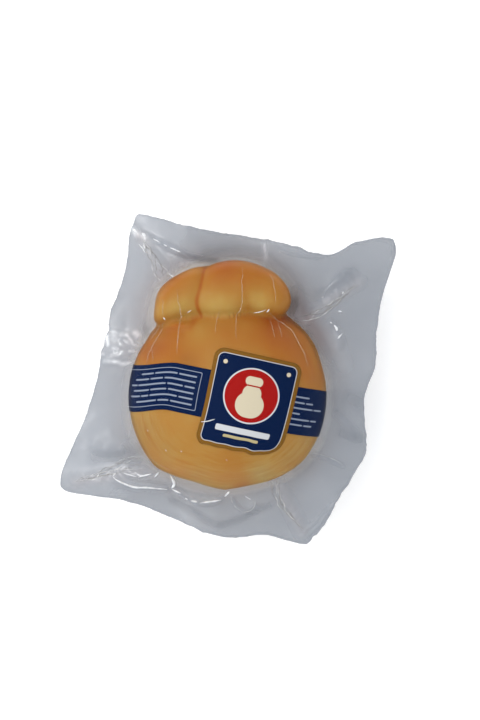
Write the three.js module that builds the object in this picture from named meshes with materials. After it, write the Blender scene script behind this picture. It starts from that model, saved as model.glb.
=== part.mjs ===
// A smoked scamorza sealed in a clear vacuum bag, lying on its back.
// Millimetres, +Z up. The tied head of the cheese points to +Y and the labelled side faces up.
// The origin is the middle of the flat spot that the pack rests on.
//
// The pack is one closed solid: the film clings to the cheese, leaves it round the waist,
// and its two sheets meet in a thin wavy skirt that runs out to the sealed edges.
import * as THREE from "three";

// Driving dimensions of the cheese
const BODY_WIDTH = 87.4;
const BODY_LENGTH = 90.8;
const BODY_DEPTH = 75.6;
const BODY_MIDDLE = [-0.4, -0.5];
const PRESSED_FLAT = 2; // how far the round back is pressed in where the pack rests
const FOOT_REACH = 43; // the blunt end of the body, below its middle
const FOOT_SLOPE = 0.24; // rise of that end for each millimetre away from its tip
const FOOT_TIP_X = -1.5;
const FOOT_BLEND = 9;

// The head is a knot of rounded lobes: middle, half sizes and turn about the upright of each, in degrees
const LEFT_LOBES = [
  { at: [-19.8, 43, 6], half: [17, 8, 21], turn: 46.8 },
  { at: [-15.6, 42.1, 6], half: [15.2, 10.2, 20], turn: 0 },
];
const MIDDLE_LOBES = [
  { at: [0.2, 46.2, 8], half: [15.8, 12.6, 20.5], turn: 0 },
  { at: [-4.8, 41.1, 8], half: [15.1, 8.9, 19.5], turn: 0 },
];
const RIGHT_LOBE = { at: [12.5, 45.1, 6], half: [16.4, 11.4, 21], turn: -27.6 };
const BACK_LOBES = [
  { at: [-11, 43.7, -9], half: [15, 13.7, 15], turn: 0 },
  { at: [10.5, 41.9, -9], half: [11.6, 12, 15], turn: 0 },
];
const LOBE_SQUARENESS = 3; // 2 is an ellipsoid; above it a lobe has a flatter top and steeper sides
const NECK_FOLD = { at: [-19.5, 30.1, 8], half: [9.3, 3.9, 17], turn: 0 };
// The film spans the creases of the cheese, so they are rounder on the pack than on the cheese
const CREASE_BLEND = 5; // the deep crease beside the left lobe
const VALLEY_BLEND = 8; // the soft valley between the other lobes
const NECK_BLEND = 10; // where the head sits on the shoulders

// Driving dimensions of the bag
const SKIRT_THICKNESS = 1.2;
const SKIRT_RISE = 1; // height of the skirt above the widest part of the body
const CORNER_DROOP = 9;
const DROOP_FROM = 50; // distance from the middle where the skirt starts to droop
const DROOP_TO = 96;
const RUFFLE_HEIGHT = 2.6;
const RUFFLE_WAVES = 7;
const RUFFLE_PHASE = 0.8;
const RUFFLE_FROM = 0.62; // share of the way to the edge where the ruffles start
const TENT_WIDTH = 13; // how far the film stands off the cheese before its sheets meet
const TENT_VARIATION = 5;
const TENT_TURN = 0.35; // the widest tent, in radians from +X

// Corners of the bag in order, how round each is, and how far the edge after it is drawn in at even steps
const CORNERS = [
  { at: [75.2, 70.9], rounding: 7, drawnIn: [2.3, 5.6, 11.7, 11.2, 8.6, 7.3, 6.7, 6.2, 5.4, 3.9, 1.8] },
  { at: [-40.5, 80.8], rounding: 3, drawnIn: [-0.1, 2, 2.7, 1.7, 2.7, 3.5, 4.6, 4.2, 3.5, 2.1, 0.5] },
  { at: [-76, -41.8], rounding: 6, drawnIn: [0.9, 1.8, 2.5, 2.1, 0.5, -1.3, -3.1, -3.7, -2, 0.9, 0.2] },
  { at: [35, -66], rounding: 3, drawnIn: [-4.2, -6.8, -10.5, -12.8, -8.3, -4.7, -6, -3.1, -1.3, -0.9, -1.4] },
];
const EDGE_ROUNDING = 1.5; // along the edges between the corners
const CORNER_REACH = 9; // how far from a corner its rounding is felt

// Gathers of film that run from the cheese towards each corner, as tapered ridges
const GATHERS = [
  { from: [31, 32], to: [57, 49.5] },
  { from: [-27, 50], to: [-39, 70] },
  { from: [-33, -31.5], to: [-67, -38] },
  { from: [21, -37], to: [32, -59] },
];
const GATHER_ROOT = 2.2; // radius beside the cheese
const GATHER_END = 0.4;
const GATHER_BLEND = 6;

// How finely the surface is faceted
const SPOKES = 120;
const UPPER_RINGS = { cheese: 23, skirt: 7 };
const UNDER_RINGS = { cheese: 8, skirt: 5 };
const RING_SMOOTHING = 0.16; // in radians, so that the rings pass the notches of the neck in a smooth line
const EDGE_STEPS = 36; // points along each edge of the bag
const SKIRT_RING_BIAS = 1.25; // rings crowd towards the cheese, where the film bends most
const MARCH_STEPS = 90;
const MARCH_SHARE = 0.75; // share of the free distance taken at each step towards the surface

const BODY = {
  at: [...BODY_MIDDLE, 0],
  half: [BODY_WIDTH / 2, BODY_LENGTH / 2, BODY_DEPTH / 2],
  turn: 0,
};
const MIDDLE_HEIGHT = BODY_DEPTH / 2 - PRESSED_FLAT; // of the body's middle above the floor
const FULL_TURN = 2 * Math.PI;

// Signed distances. Positive is outside, and they are near enough to exact close to the surface.

function ellipsoid([x, y, z], { at, half, turn }, squareness = 2) {
  const flat = new THREE.Vector2(x - at[0], y - at[1]).rotateAround(
    new THREE.Vector2(),
    -THREE.MathUtils.degToRad(turn),
  );
  const across = new THREE.Vector2(flat.x / half[0], flat.y / half[1]);
  const level = across.length();
  const rise = Math.abs(z - at[2]) / half[2];
  const reach = (level ** squareness + rise ** squareness) ** (1 / squareness);
  const sideSlope =
    Math.hypot(across.x / half[0], across.y / half[1]) * level ** (squareness - 2);
  const upSlope = rise ** (squareness - 1) / half[2];
  const slope = Math.max(Math.hypot(sideSlope, upSlope), 1e-9);
  return ((reach - 1) * reach ** (squareness - 1)) / slope;
}

function taperedRidge([x, y, z], start, end, startRadius, endRadius) {
  const along = new THREE.Vector3().subVectors(end, start);
  const fromStart = new THREE.Vector3(x, y, z).sub(start);
  const share = THREE.MathUtils.clamp(
    fromStart.dot(along) / along.lengthSq(),
    0,
    1,
  );
  const radius = THREE.MathUtils.lerp(startRadius, endRadius, share);
  return fromStart.addScaledVector(along, -share).length() - radius;
}

function join(a, b, blend) {
  const closeness = Math.max(blend - Math.abs(a - b), 0) / blend;
  return Math.min(a, b) - (closeness * closeness * blend) / 4;
}

function trim(a, b, blend) {
  return -join(-a, -b, blend);
}

// The cheese, about the middle of its body

function bodyDistance(point) {
  const [x, y, z] = point;
  const round = ellipsoid(point, BODY);
  const fromTip = Math.hypot(x - FOOT_TIP_X, z);
  const belowFoot =
    (FOOT_SLOPE * fromTip - FOOT_REACH - y) / Math.hypot(1, FOOT_SLOPE);
  return trim(round, belowFoot, FOOT_BLEND);
}

function headDistance(point) {
  const toKnot = (lobes) =>
    lobes
      .map((lobe) => ellipsoid(point, lobe, LOBE_SQUARENESS))
      .reduce((nearest, next) => join(nearest, next, VALLEY_BLEND));
  const rightSide = toKnot([...MIDDLE_LOBES, RIGHT_LOBE, ...BACK_LOBES]);
  return join(rightSide, toKnot(LEFT_LOBES), CREASE_BLEND);
}

function cheeseDistance(point) {
  const shoulders = join(
    bodyDistance(point),
    ellipsoid(point, NECK_FOLD),
    VALLEY_BLEND,
  );
  return join(shoulders, headDistance(point), NECK_BLEND);
}

// The bag's edge, as a closed run of points seen from above

function drawnInAt(values, share) {
  const knots = [0, ...values, 0].map((value) => new THREE.Vector2(0, value));
  return new THREE.SplineCurve(knots).getPoint(share).y;
}

function bagEdge() {
  const points = [];
  CORNERS.forEach((corner, index) => {
    const start = new THREE.Vector2(...corner.at);
    const next = CORNERS[(index + 1) % CORNERS.length];
    const side = new THREE.Vector2(...next.at).sub(start);
    const inward = new THREE.Vector2(-side.y, side.x).normalize();
    for (let step = 0; step < EDGE_STEPS; step++) {
      const share = step / EDGE_STEPS;
      points.push(
        start
          .clone()
          .addScaledVector(side, share)
          .addScaledVector(inward, drawnInAt(corner.drawnIn, share)),
      );
    }
  });
  return points;
}

// Reach of the rounding at a point of the edge
function roundingAt(point) {
  let reach = EDGE_ROUNDING;
  for (const { at, rounding } of CORNERS) {
    const apart = point.distanceTo(new THREE.Vector2(...at));
    reach += (rounding - EDGE_ROUNDING) * Math.exp(-((apart / CORNER_REACH) ** 2));
  }
  return reach;
}

// Each point moves to the mean of its neighbours, weighted by how near they are.
// The mean is taken more widely at the corners, which rounds them.
function rounded(points) {
  return points.map((point) => {
    const reach = roundingAt(point);
    const sum = new THREE.Vector2();
    let total = 0;
    for (const other of points) {
      const weight = Math.exp(-(point.distanceToSquared(other) / (reach * reach)));
      sum.addScaledVector(other, weight);
      total += weight;
    }
    return sum.divideScalar(total);
  });
}

const EDGE = rounded(bagEdge());

// Distance from the middle to the bag's edge, in one direction
function edgeRadius(angle) {
  const direction = new THREE.Vector2(Math.cos(angle), Math.sin(angle));
  let reach = 0;
  EDGE.forEach((start, index) => {
    const side = EDGE[(index + 1) % EDGE.length].clone().sub(start);
    const turn = direction.cross(side);
    const along = start.cross(side) / turn;
    const share = start.cross(direction) / turn;
    if (along > 0 && share >= 0 && share <= 1) {
      reach = Math.max(reach, along);
    }
  });
  return reach;
}

// The bag, about the middle of the body

function skirtHeight(x, y) {
  const radius = Math.hypot(x, y);
  const angle = Math.atan2(y, x);
  const droop = THREE.MathUtils.smoothstep(radius, DROOP_FROM, DROOP_TO);
  const ruffle = THREE.MathUtils.smoothstep(
    radius / edgeRadius(angle),
    RUFFLE_FROM,
    1,
  );
  const wave = Math.sin(RUFFLE_WAVES * angle + RUFFLE_PHASE);
  return SKIRT_RISE - CORNER_DROOP * droop + RUFFLE_HEIGHT * ruffle * wave;
}

const GATHER_RIDGES = GATHERS.map(({ from, to }) => ({
  start: new THREE.Vector3(...from, skirtHeight(...from)),
  end: new THREE.Vector3(...to, skirtHeight(...to)),
}));

// The pack's distance in one upright line, with the skirt's height and tent known there
function packDistance(point, skirt, tent) {
  const sheets = Math.abs(point[2] - skirt) - SKIRT_THICKNESS / 2;
  let pack = join(sheets, cheeseDistance(point), tent);
  for (const { start, end } of GATHER_RIDGES) {
    const ridge = taperedRidge(point, start, end, GATHER_ROOT, GATHER_END);
    pack = join(pack, ridge, GATHER_BLEND);
  }
  return pack;
}

// Height where an upright line meets the pack, from above with side 1 and from below with side -1
function surfaceHeight(x, y, side) {
  const skirt = skirtHeight(x, y);
  const turn = Math.atan2(y, x) - TENT_TURN;
  const tent = TENT_WIDTH + TENT_VARIATION * Math.cos(2 * turn);
  let z = side * BODY_DEPTH;
  for (let step = 0; step < MARCH_STEPS; step++) {
    z -= side * MARCH_SHARE * packDistance([x, y, z], skirt, tent);
  }
  return Math.max(z, -MIDDLE_HEIGHT);
}

// Radius of the cheese seen from above, found from outside in
function cheeseRadius(angle, edge) {
  let radius = edge;
  for (let step = 0; step < MARCH_STEPS; step++) {
    const x = radius * Math.cos(angle);
    const y = radius * Math.sin(angle);
    radius -= MARCH_SHARE * cheeseDistance([x, y, SKIRT_RISE]);
  }
  return radius;
}

// Radii of the rings along one spoke, from the first round the middle to the bag's edge
function ringRadii(angle, rings) {
  const edge = edgeRadius(angle);
  const around = [-1, -0.5, 0, 0.5, 1].map((turn) => {
    const beside = angle + turn * RING_SMOOTHING;
    return cheeseRadius(beside, edgeRadius(beside));
  });
  const cheese = around.reduce((sum, radius) => sum + radius) / around.length;
  const radii = [];
  for (let ring = 1; ring <= rings.cheese; ring++) {
    radii.push(cheese * Math.sin((ring / rings.cheese) * (Math.PI / 2)));
  }
  for (let ring = 1; ring <= rings.skirt; ring++) {
    const share = (ring / rings.skirt) ** SKIRT_RING_BIAS;
    radii.push(cheese + (edge - cheese) * share);
  }
  return radii;
}

// Directions of the spokes. They are even, but the nearest to each corner of the bag is turned to meet it.
function spokeAngles() {
  const angles = Array.from(
    { length: SPOKES },
    (_, index) => (index / SPOKES) * FULL_TURN,
  );
  for (const { at } of CORNERS) {
    const angle = (Math.atan2(at[1], at[0]) + FULL_TURN) % FULL_TURN;
    angles[Math.round((angle / FULL_TURN) * SPOKES) % SPOKES] = angle;
  }
  return angles;
}

// One sheet of the bag as a middle point and rings of points, listed outwards
function sheet(side, rings) {
  const spokes = spokeAngles().map((angle) => {
    return ringRadii(angle, rings).map((radius) => {
      const x = radius * Math.cos(angle);
      const y = radius * Math.sin(angle);
      return [x, y, surfaceHeight(x, y, side) + MIDDLE_HEIGHT];
    });
  });
  const middle = [0, 0, surfaceHeight(0, 0, side) + MIDDLE_HEIGHT];
  const ringCount = rings.cheese + rings.skirt;
  return {
    middle,
    rings: Array.from({ length: ringCount }, (_, ring) =>
      spokes.map((spoke) => spoke[ring]),
    ),
  };
}

// Both sheets, joined along the bag's edge
function packGeometry() {
  const upper = sheet(1, UPPER_RINGS);
  const under = sheet(-1, UNDER_RINGS);
  const rows = [...upper.rings, ...under.rings.toReversed()];
  const positions = [upper.middle, ...rows.flat(), under.middle].flat();
  const lastPoint = positions.length / 3 - 1;
  const faces = [];
  for (let spoke = 0; spoke < SPOKES; spoke++) {
    const next = (spoke + 1) % SPOKES;
    const at = (row, index) => 1 + row * SPOKES + index;
    faces.push(0, at(0, spoke), at(0, next));
    for (let row = 0; row + 1 < rows.length; row++) {
      faces.push(at(row, spoke), at(row + 1, spoke), at(row + 1, next));
      faces.push(at(row, spoke), at(row + 1, next), at(row, next));
    }
    const lastRow = rows.length - 1;
    faces.push(at(lastRow, spoke), lastPoint, at(lastRow, next));
  }
  const geometry = new THREE.BufferGeometry();
  geometry.setAttribute(
    "position",
    new THREE.Float32BufferAttribute(positions, 3),
  );
  geometry.setIndex(faces);
  geometry.computeVertexNormals();
  return geometry;
}

const film = new THREE.MeshStandardMaterial({
  color: 0xa8abb2,
  roughness: 0.15,
  metalness: 0,
});

const pack = new THREE.Group();
const sealedBag = new THREE.Mesh(packGeometry(), film);
sealedBag.name = "sealed_bag";
pack.add(sealedBag);

export default pack;
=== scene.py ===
# %% [markdown]
# # A smoked scamorza in a clear shrink bag
# The cheese lies on its back with its label up, and the camera looks straight down on it.
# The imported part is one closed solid: the outer form of the bag. Here that solid is shown as what it is,
# a clear film with a cheese and a label inside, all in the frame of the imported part.

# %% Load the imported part
import math

import bpy
import numpy as np
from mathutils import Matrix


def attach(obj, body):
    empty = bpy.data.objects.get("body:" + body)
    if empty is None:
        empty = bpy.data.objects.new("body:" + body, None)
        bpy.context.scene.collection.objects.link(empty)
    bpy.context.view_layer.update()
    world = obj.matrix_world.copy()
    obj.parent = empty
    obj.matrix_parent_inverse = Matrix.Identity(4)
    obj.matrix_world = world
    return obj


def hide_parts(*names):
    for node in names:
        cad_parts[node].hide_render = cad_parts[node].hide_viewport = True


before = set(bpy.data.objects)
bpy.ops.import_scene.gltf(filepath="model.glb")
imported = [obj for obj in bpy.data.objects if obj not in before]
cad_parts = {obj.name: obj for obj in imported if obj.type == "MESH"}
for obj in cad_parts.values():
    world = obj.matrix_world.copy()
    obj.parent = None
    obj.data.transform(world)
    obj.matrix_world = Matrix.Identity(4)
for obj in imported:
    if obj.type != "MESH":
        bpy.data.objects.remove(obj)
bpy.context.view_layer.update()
MM = 0.001

# %% [markdown]
# ## Camera
# The photograph was taken from straight above, so the camera looks down the Z axis with the head of the
# cheese at the top of the frame. Its height sets the perspective, and the lens then follows from the frame:
# the picture's 720 rows have to cover the right number of millimetres at the widest part of the cheese.

# %% Place the camera
PICTURE_WIDTH, PICTURE_HEIGHT = 480, 720
MM_PER_PIXEL = 0.4365
BODY_PIXEL = (228.3, 395.7)
MIDDLE_HEIGHT = 35.8
CAMERA_RISE = 750
SENSOR_HEIGHT = 24

scene = bpy.context.scene


def put_in_scene(name, data):
    """A new object in the scene, at its origin."""
    item = bpy.data.objects.new(name, data)
    scene.collection.objects.link(item)
    return item


camera_data = bpy.data.cameras.new("overhead_camera")
camera_data.sensor_fit = "VERTICAL"
camera_data.sensor_height = SENSOR_HEIGHT
camera_data.lens = SENSOR_HEIGHT * CAMERA_RISE / (PICTURE_HEIGHT * MM_PER_PIXEL)
camera = put_in_scene("overhead_camera", camera_data)
camera.location = (
    (PICTURE_WIDTH / 2 - BODY_PIXEL[0]) * MM_PER_PIXEL * MM,
    (BODY_PIXEL[1] - PICTURE_HEIGHT / 2) * MM_PER_PIXEL * MM,
    (MIDDLE_HEIGHT + CAMERA_RISE) * MM,
)
bpy.context.scene.camera = camera
print("lens, mm:", round(camera_data.lens, 1))

# %% [markdown]
# ## Floor and light
# A pale floor and one large soft light from the upper left give the even light of a product picture.
# The floor glows a little, like a light table, so that the shadow of the pack stays faint.
# Clear film only shows where it mirrors something bright, so narrow strip lamps stand low around the pack.
# They add little light to the cheese, but each fold of the film that leans towards one gets a white glint.

# %% Floor, world and lamps
scene.view_settings.view_transform = "Standard"
scene.view_settings.look = "None"
ROOM_LIGHT, ROOM_STRENGTH = (0.94, 0.97, 1.0, 1), 0.7
FLOOR_HALF, FLOOR_WHITE, FLOOR_GLOW = 3.0, (0.96, 0.96, 0.96, 1), 0.3


def set_inputs(node, **values):
    """Sets the sockets of a node by name, with _ for each space."""
    for name, value in values.items():
        node.inputs[name.replace("_", " ")].default_value = value


def principled(name, **values):
    """A new material with these values on its Principled BSDF, and that shader."""
    material = bpy.data.materials.new(name)
    material.use_nodes = True
    shader = material.node_tree.nodes["Principled BSDF"]
    set_inputs(shader, **values)
    return material, shader


world = bpy.data.worlds.new("soft_room")
world.use_nodes = True
set_inputs(world.node_tree.nodes["Background"], Color=ROOM_LIGHT, Strength=ROOM_STRENGTH)
scene.world = world

floor_mesh = bpy.data.meshes.new("floor")
corners = [(x * FLOOR_HALF, y * FLOOR_HALF, 0) for x, y in ((-1, -1), (1, -1), (1, 1), (-1, 1))]
floor_mesh.from_pydata(corners, [], [(0, 1, 2, 3)])
floor = put_in_scene("floor", floor_mesh)
floor_paint, _ = principled(
    "floor_paint",
    Base_Color=FLOOR_WHITE,
    Roughness=0.9,
    Emission_Color=(1, 1, 1, 1),
    Emission_Strength=FLOOR_GLOW,
)
floor_mesh.materials.append(floor_paint)


def lamp(name, place, width, tall, watts):
    """A rectangular lamp at a place in metres, aimed at the middle of the pack."""
    data = bpy.data.lights.new(name, "AREA")
    data.shape = "RECTANGLE"
    data.size = width
    data.size_y = tall
    data.energy = watts
    item = put_in_scene(name, data)
    item.location = place
    aim = -item.location.copy()
    aim.z += MIDDLE_HEIGHT * MM
    item.rotation_euler = aim.to_track_quat("-Z", "Y").to_euler()


# Place, width and height in metres, and watts
LAMPS = {
    "softbox": ((-0.36, 0.12, 1.15), 1.4, 1.4, 5.9),
    "strip_left": ((-0.62, 0.12, 0.85), 0.5, 0.1, 1.7),
    "strip_below": ((-0.12, -0.62, 0.85), 0.6, 0.1, 0.35),
    "strip_above": ((-0.2, 0.72, 0.8), 0.4, 0.08, 0.9),
}
for name, settings in LAMPS.items():
    lamp(name, *settings)
print("lamps:", ", ".join(LAMPS))

# %% [markdown]
# ## Distances instead of meshes
# Cheese and film are soft rounded forms that run into each other. They could be sculpted, but the packed
# part already describes them by rules: rounded lumps given as distances, blended where they meet. The same
# rules are used here with numpy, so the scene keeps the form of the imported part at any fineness.
# All distances are in millimetres about the middle of the body; positive is outside.

# %% Distance helpers
def ellipsoid(x, y, z, at, half, turn=0, square=2):
    """Distance to an ellipsoid turned about the upright, with a flatter top where square is above 2."""
    cos, sin = math.cos(math.radians(turn)), math.sin(math.radians(turn))
    dx, dy = x - at[0], y - at[1]
    sx, sy = (cos * dx + sin * dy) / half[0], (cos * dy - sin * dx) / half[1]
    rise = np.abs(z - at[2]) / half[2]
    level = np.hypot(sx, sy)
    reach = (level**square + rise**square) ** (1 / square)
    side_slope = np.hypot(sx / half[0], sy / half[1]) * level ** (square - 2)
    slope = np.hypot(side_slope, rise ** (square - 1) / half[2])
    return (reach - 1) * reach ** (square - 1) / np.maximum(slope, 1e-9)


def join(a, b, blend):
    """The union of two distances with a rounded inner corner."""
    closeness = np.maximum(blend - np.abs(a - b), 0) / blend
    return np.minimum(a, b) - closeness**2 * blend / 4


def ease(value, low, high):
    """0 below low, 1 above high, and a smooth step between them."""
    share = np.clip((value - low) / (high - low), 0, 1)
    return share**2 * (3 - 2 * share)


# %% The cheese as a distance
BODY_MIDDLE, BODY_HALF = (-0.4, -0.5, 0), (43.7, 45.4, 37.8)
FOOT_REACH, FOOT_SLOPE, FOOT_TIP_X, FOOT_BLEND = 43.0, 0.24, -1.5, 9
# Lobes of the knotted head: middle, half sizes and turn in degrees
LEFT_LOBES = (((-19.8, 43, 6), (17, 8, 21), 46.8), ((-15.6, 42.1, 6), (15.2, 10.2, 20), 0))
MIDDLE_LOBES = (((0.2, 46.2, 8), (15.8, 12.6, 20.5), 0), ((-4.8, 41.1, 8), (15.1, 8.9, 19.5), 0))
RIGHT_LOBE = ((12.5, 45.1, 6), (16.4, 11.4, 21), -27.6)
BACK_LOBES = (((-11, 43.7, -9), (15, 13.7, 15), 0), ((10.5, 41.9, -9), (11.6, 12, 15), 0))
LOBE_SQUARE = 3
NECK_FOLD = ((-19.5, 30.1, 8), (9.3, 3.9, 17), 0)
FILM_BLENDS = {"crease": 5, "valley": 8, "neck": 10}
CHEESE_BLENDS = {"crease": 1.1, "valley": 5, "neck": 1.3}
WAIST_LEVELS = (-8.0, 0.0, 7.0)


def body_distance(x, y, z):
    """The round body with its blunt foot."""
    round_body = ellipsoid(x, y, z, BODY_MIDDLE, BODY_HALF)
    from_tip = np.hypot(x - FOOT_TIP_X, z)
    below_foot = (FOOT_SLOPE * from_tip - FOOT_REACH - y) / math.hypot(1, FOOT_SLOPE)
    return -join(-round_body, -below_foot, FOOT_BLEND)


def head_sides(x, y, z, blends):
    """The left lobe of the head, and all the rest of the head."""
    sides = []
    for lobes in (LEFT_LOBES, (*MIDDLE_LOBES, RIGHT_LOBE, *BACK_LOBES)):
        side = ellipsoid(x, y, z, *lobes[0], LOBE_SQUARE)
        for lobe in lobes[1:]:
            side = join(side, ellipsoid(x, y, z, *lobe, LOBE_SQUARE), blends["valley"])
        sides.append(side)
    return sides


def lump_distance(x, y, z, blends):
    """Body and knotted head together, with the given roundness in the creases."""
    head = join(*head_sides(x, y, z, blends), blends["crease"])
    shoulders = join(body_distance(x, y, z), ellipsoid(x, y, z, *NECK_FOLD), blends["valley"])
    return join(shoulders, head, blends["neck"])


def outside_outline(x, y, blends):
    """Distance from the outline of body and head, seen from above."""
    levels = [lump_distance(x, y, np.full(x.shape, level), blends) for level in WAIST_LEVELS]
    return np.minimum.reduce(levels)


# %% [markdown]
# ## The cheese
# A pear-shaped lump of stretched curd, smoked until its skin is amber. One ray for each point of a globe
# walks inwards until it meets the film's rounder form. The cheese has sharp creases that no ray could
# follow, so the points then slide down the slope of the cheese's own distance and spread out evenly, step
# by step, until they lie on its skin and in its creases. Last, its rim bulges a little here and there.

# %% Skin of the cheese
FILM_GAP = 0.8
COLUMNS, ROWS = 460, 210
RAY_START = (0, 14, 0)
START_RADIUS = 90
WALK_STEPS, WALK_SHARE = 80, 0.8
SLIDE_STEPS, SPREAD_SHARE, SLOPE_STEP, LEAST_SLOPE = 16, 0.5, 0.05, 0.3
# Where the rim bulges out, or is drawn in (negative): degrees round it, reach in degrees and amount
RIM_BULGES = (
    (8, 8, 0.35),
    (33, 13, 1.0),
    (69, 5, 0.4),
    (88, 5, 0.45),
    (147, 5, -0.35),
    (225, 6, 0.7),
    (248, 8, -0.55),
    (297, 13, 0.55),
    (326, 6, -0.25),
)
RIM_HEIGHT = 11


def plain_piece(name, points, faces):
    """An object from points in millimetres about the body's middle."""
    points = np.asarray(points, float) + (0, 0, MIDDLE_HEIGHT)
    mesh = bpy.data.meshes.new(name)
    mesh.from_pydata((points * MM).tolist(), [], faces)
    mesh.shade_smooth()
    mesh.update()
    piece = put_in_scene(name, mesh)
    print(name, len(points), "points,", len(mesh.polygons), "faces")
    return piece


def point_values(piece, name, values):
    """Stores one number for each point of a piece, for its material to read."""
    layer = piece.data.attributes.new(name, "FLOAT", "POINT")
    layer.data.foreach_set("value", np.asarray(values, np.float32).ravel())


def globe_faces(rows, columns):
    """Faces of rings of points between two single end points, listed in that order."""
    faces = []
    last = 1 + rows * columns
    for column in range(columns):
        after = (column + 1) % columns
        faces.append((0, 1 + column, 1 + after))
        for row in range(rows - 1):
            here, below = 1 + row * columns, 1 + (row + 1) * columns
            faces.append((here + column, below + column, below + after, here + after))
        end = 1 + (rows - 1) * columns
        faces.append((end + column, last, end + after))
    return faces


down = np.linspace(0, math.pi, ROWS + 2)[1:-1]
around = np.linspace(0, 2 * math.pi, COLUMNS, endpoint=False)
down, around = [grid.ravel() for grid in np.meshgrid(down, around, indexing="ij")]
rays = np.stack([np.sin(down) * np.cos(around), np.sin(down) * np.sin(around), np.cos(down)], 1)
rays = np.vstack([[(0, 0, 1)], rays, [(0, 0, -1)]])
radius = np.full(len(rays), float(START_RADIUS))
for step in range(WALK_STEPS):
    radius -= WALK_SHARE * (lump_distance(*(RAY_START + rays * radius[:, None]).T, FILM_BLENDS) + FILM_GAP)
skin = RAY_START + rays * radius[:, None]


def spread(points):
    """Moves each point of the globe towards the middle of its four neighbours."""
    rings = points[1:-1].reshape(ROWS, COLUMNS, 3)
    before = np.concatenate([np.tile(points[0], (1, COLUMNS, 1)), rings[:-1]])
    after = np.concatenate([rings[1:], np.tile(points[-1], (1, COLUMNS, 1))])
    middle = (before + after + np.roll(rings, 1, 1) + np.roll(rings, -1, 1)) / 4
    rings = rings + SPREAD_SHARE * (middle - rings)
    return np.vstack([points[:1], rings.reshape(-1, 3), points[-1:]])


def slide(points):
    """Moves points along the slope of the cheese's distance onto its skin."""
    here = lump_distance(*points.T, CHEESE_BLENDS)
    ahead = [lump_distance(*(points + way).T, CHEESE_BLENDS) for way in np.eye(3) * SLOPE_STEP]
    slope = np.stack([value - here for value in ahead], 1) / SLOPE_STEP
    share = (here + FILM_GAP) / np.maximum((slope**2).sum(1), LEAST_SLOPE)
    return points - share[:, None] * slope


def bell(value, width):
    """1 where the value is 0, fading to 0 over the width on both sides."""
    return np.exp(-((value / width) ** 2))


def rim_bulge(x, y):
    """How far the rim of the cheese bulges out in a point's direction from the middle."""
    angle = np.degrees(np.arctan2(y, x))
    total = np.zeros(x.shape)
    for middle, reach, amount in RIM_BULGES:
        apart = (angle - middle + 180) % 360 - 180
        total += amount * bell(apart, reach)
    return total


for step in range(SLIDE_STEPS):
    skin = slide(spread(skin))
skin = slide(slide(skin))
at_rim = rim_bulge(skin[:, 0], skin[:, 1]) * bell(skin[:, 2], RIM_HEIGHT)
skin[:, :2] *= 1 + (at_rim / np.maximum(np.hypot(skin[:, 0], skin[:, 1]), 1))[:, None]
skin[:, 2] = np.maximum(skin[:, 2], FILM_GAP - MIDDLE_HEIGHT)
cheese = plain_piece("cheese", skin, globe_faces(ROWS, COLUMNS))

# %% [markdown]
# ## The smoked skin
# Smoke colours the parts that face it most: the tops of the lobes, the neck and the shoulders are amber,
# while the lower lobes and the belly stay golden. A number for each point, from a few broad soft patches,
# says how much smoke it took; it also carries painted shade in the creases of the knot and under the head at
# the neck, and a few patches of painted light and shade on the lobes. A second number paints shade, darker
# and duller, mostly low on the body, and is below 0 at the rim, where it paints light. Noise breaks the
# patches up.
# Low on the body the curd was stretched as the ball was shaped, so fine streaks run along its rim there.
# Light enters the curd, so the shader scatters it under the skin.

# %% Smoke on the skin
# Patches of more smoke, and of less where the last number is negative, some of them painted light and shade:
# x, y, reach and amount
SMOKE_LIGHT_AND_SHADE_PATCHES = (
    (-23, 53, 8, 0.5),
    (-27, 44, 6, 0.3),
    (-2, 55, 10, 0.65),
    (14, 53, 9, 0.42),
    (27, 45, 7, 0.4),
    (-22, 37, 7, -0.2),
    (-4, 38, 7, -0.22),
    (14, 39, 8, -0.22),
    # Painted light on the lower fronts of the lobes, where the head's underside would be in shade
    (-7, 35.6, 3.5, -0.06),
    (1, 35.4, 4.2, -0.26),
    (14, 36.8, 3.5, -0.2),
    (12.4, 41.5, 4, -0.1),
    # Painted shade in the soft valley between the middle and right lobes
    (5.9, 49, 1.8, 0.08),
    (6.7, 45.5, 1.6, 0.12),
    (7.5, 42, 1.5, 0.14),
    (8.4, 38.2, 1.5, 0.16),
    # Painted light on the lower front of the right lobe
    (21, 37.5, 3.5, -0.16),
    (-21, 30, 5, 0.3),
    # Painted shade in the crease beside the neck fold
    (-13.6, 33, 1.3, 0.4),
    (-14.8, 31, 1.3, 0.35),
    (-16, 29, 1.4, 0.2),
    (18, 31, 8, 0.5),
    (-1, 31, 9, 0.3),
    (27, 21, 12, 0.6),
    (-28, 22, 10, 0.45),
    (-36, 18, 6, 0.35),
    (6, 24, 10, 0.2),
    (37, 8, 9, 0.35),
    (-17, 14, 9, 0.3),
    (-22, -20, 22, 0.1),
    (14, -33, 6, -0.2),
    (6, -39, 4, 0.3),
    (3, -28, 7, 0.2),
)
# Patches of painted shade, darker and duller skin, mostly low on the body
PAINTED_SHADE_PATCHES = (
    (-36, -13, 8, 0.75),
    (-27, -23, 7, 0.5),
    (-14, -35, 6, 0.5),
    (14, -33, 6, 0.8),
    (27, -26, 6, 0.5),
    (37, -18, 7, 0.8),
    (-17, 14.5, 4.5, 0.65),
    (-35, 22, 5, 0.45),
    (37, 7, 4, 0.3),
)
# Painted light along the thin rim, most at the shoulder: width, amount all round, and at the shoulder
PAINTED_RIM_LIGHT_WIDTH, PAINTED_RIM_LIGHT, PAINTED_SHOULDER_LIGHT = 2.0, 0.5, 1.0
SHOULDER, SHOULDER_REACH = (36, 23), 17
# Below 0 the number is painted light rather than smoke
SMOKE_BASE, LEAST_SMOKE = 0.2, -0.15
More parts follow.
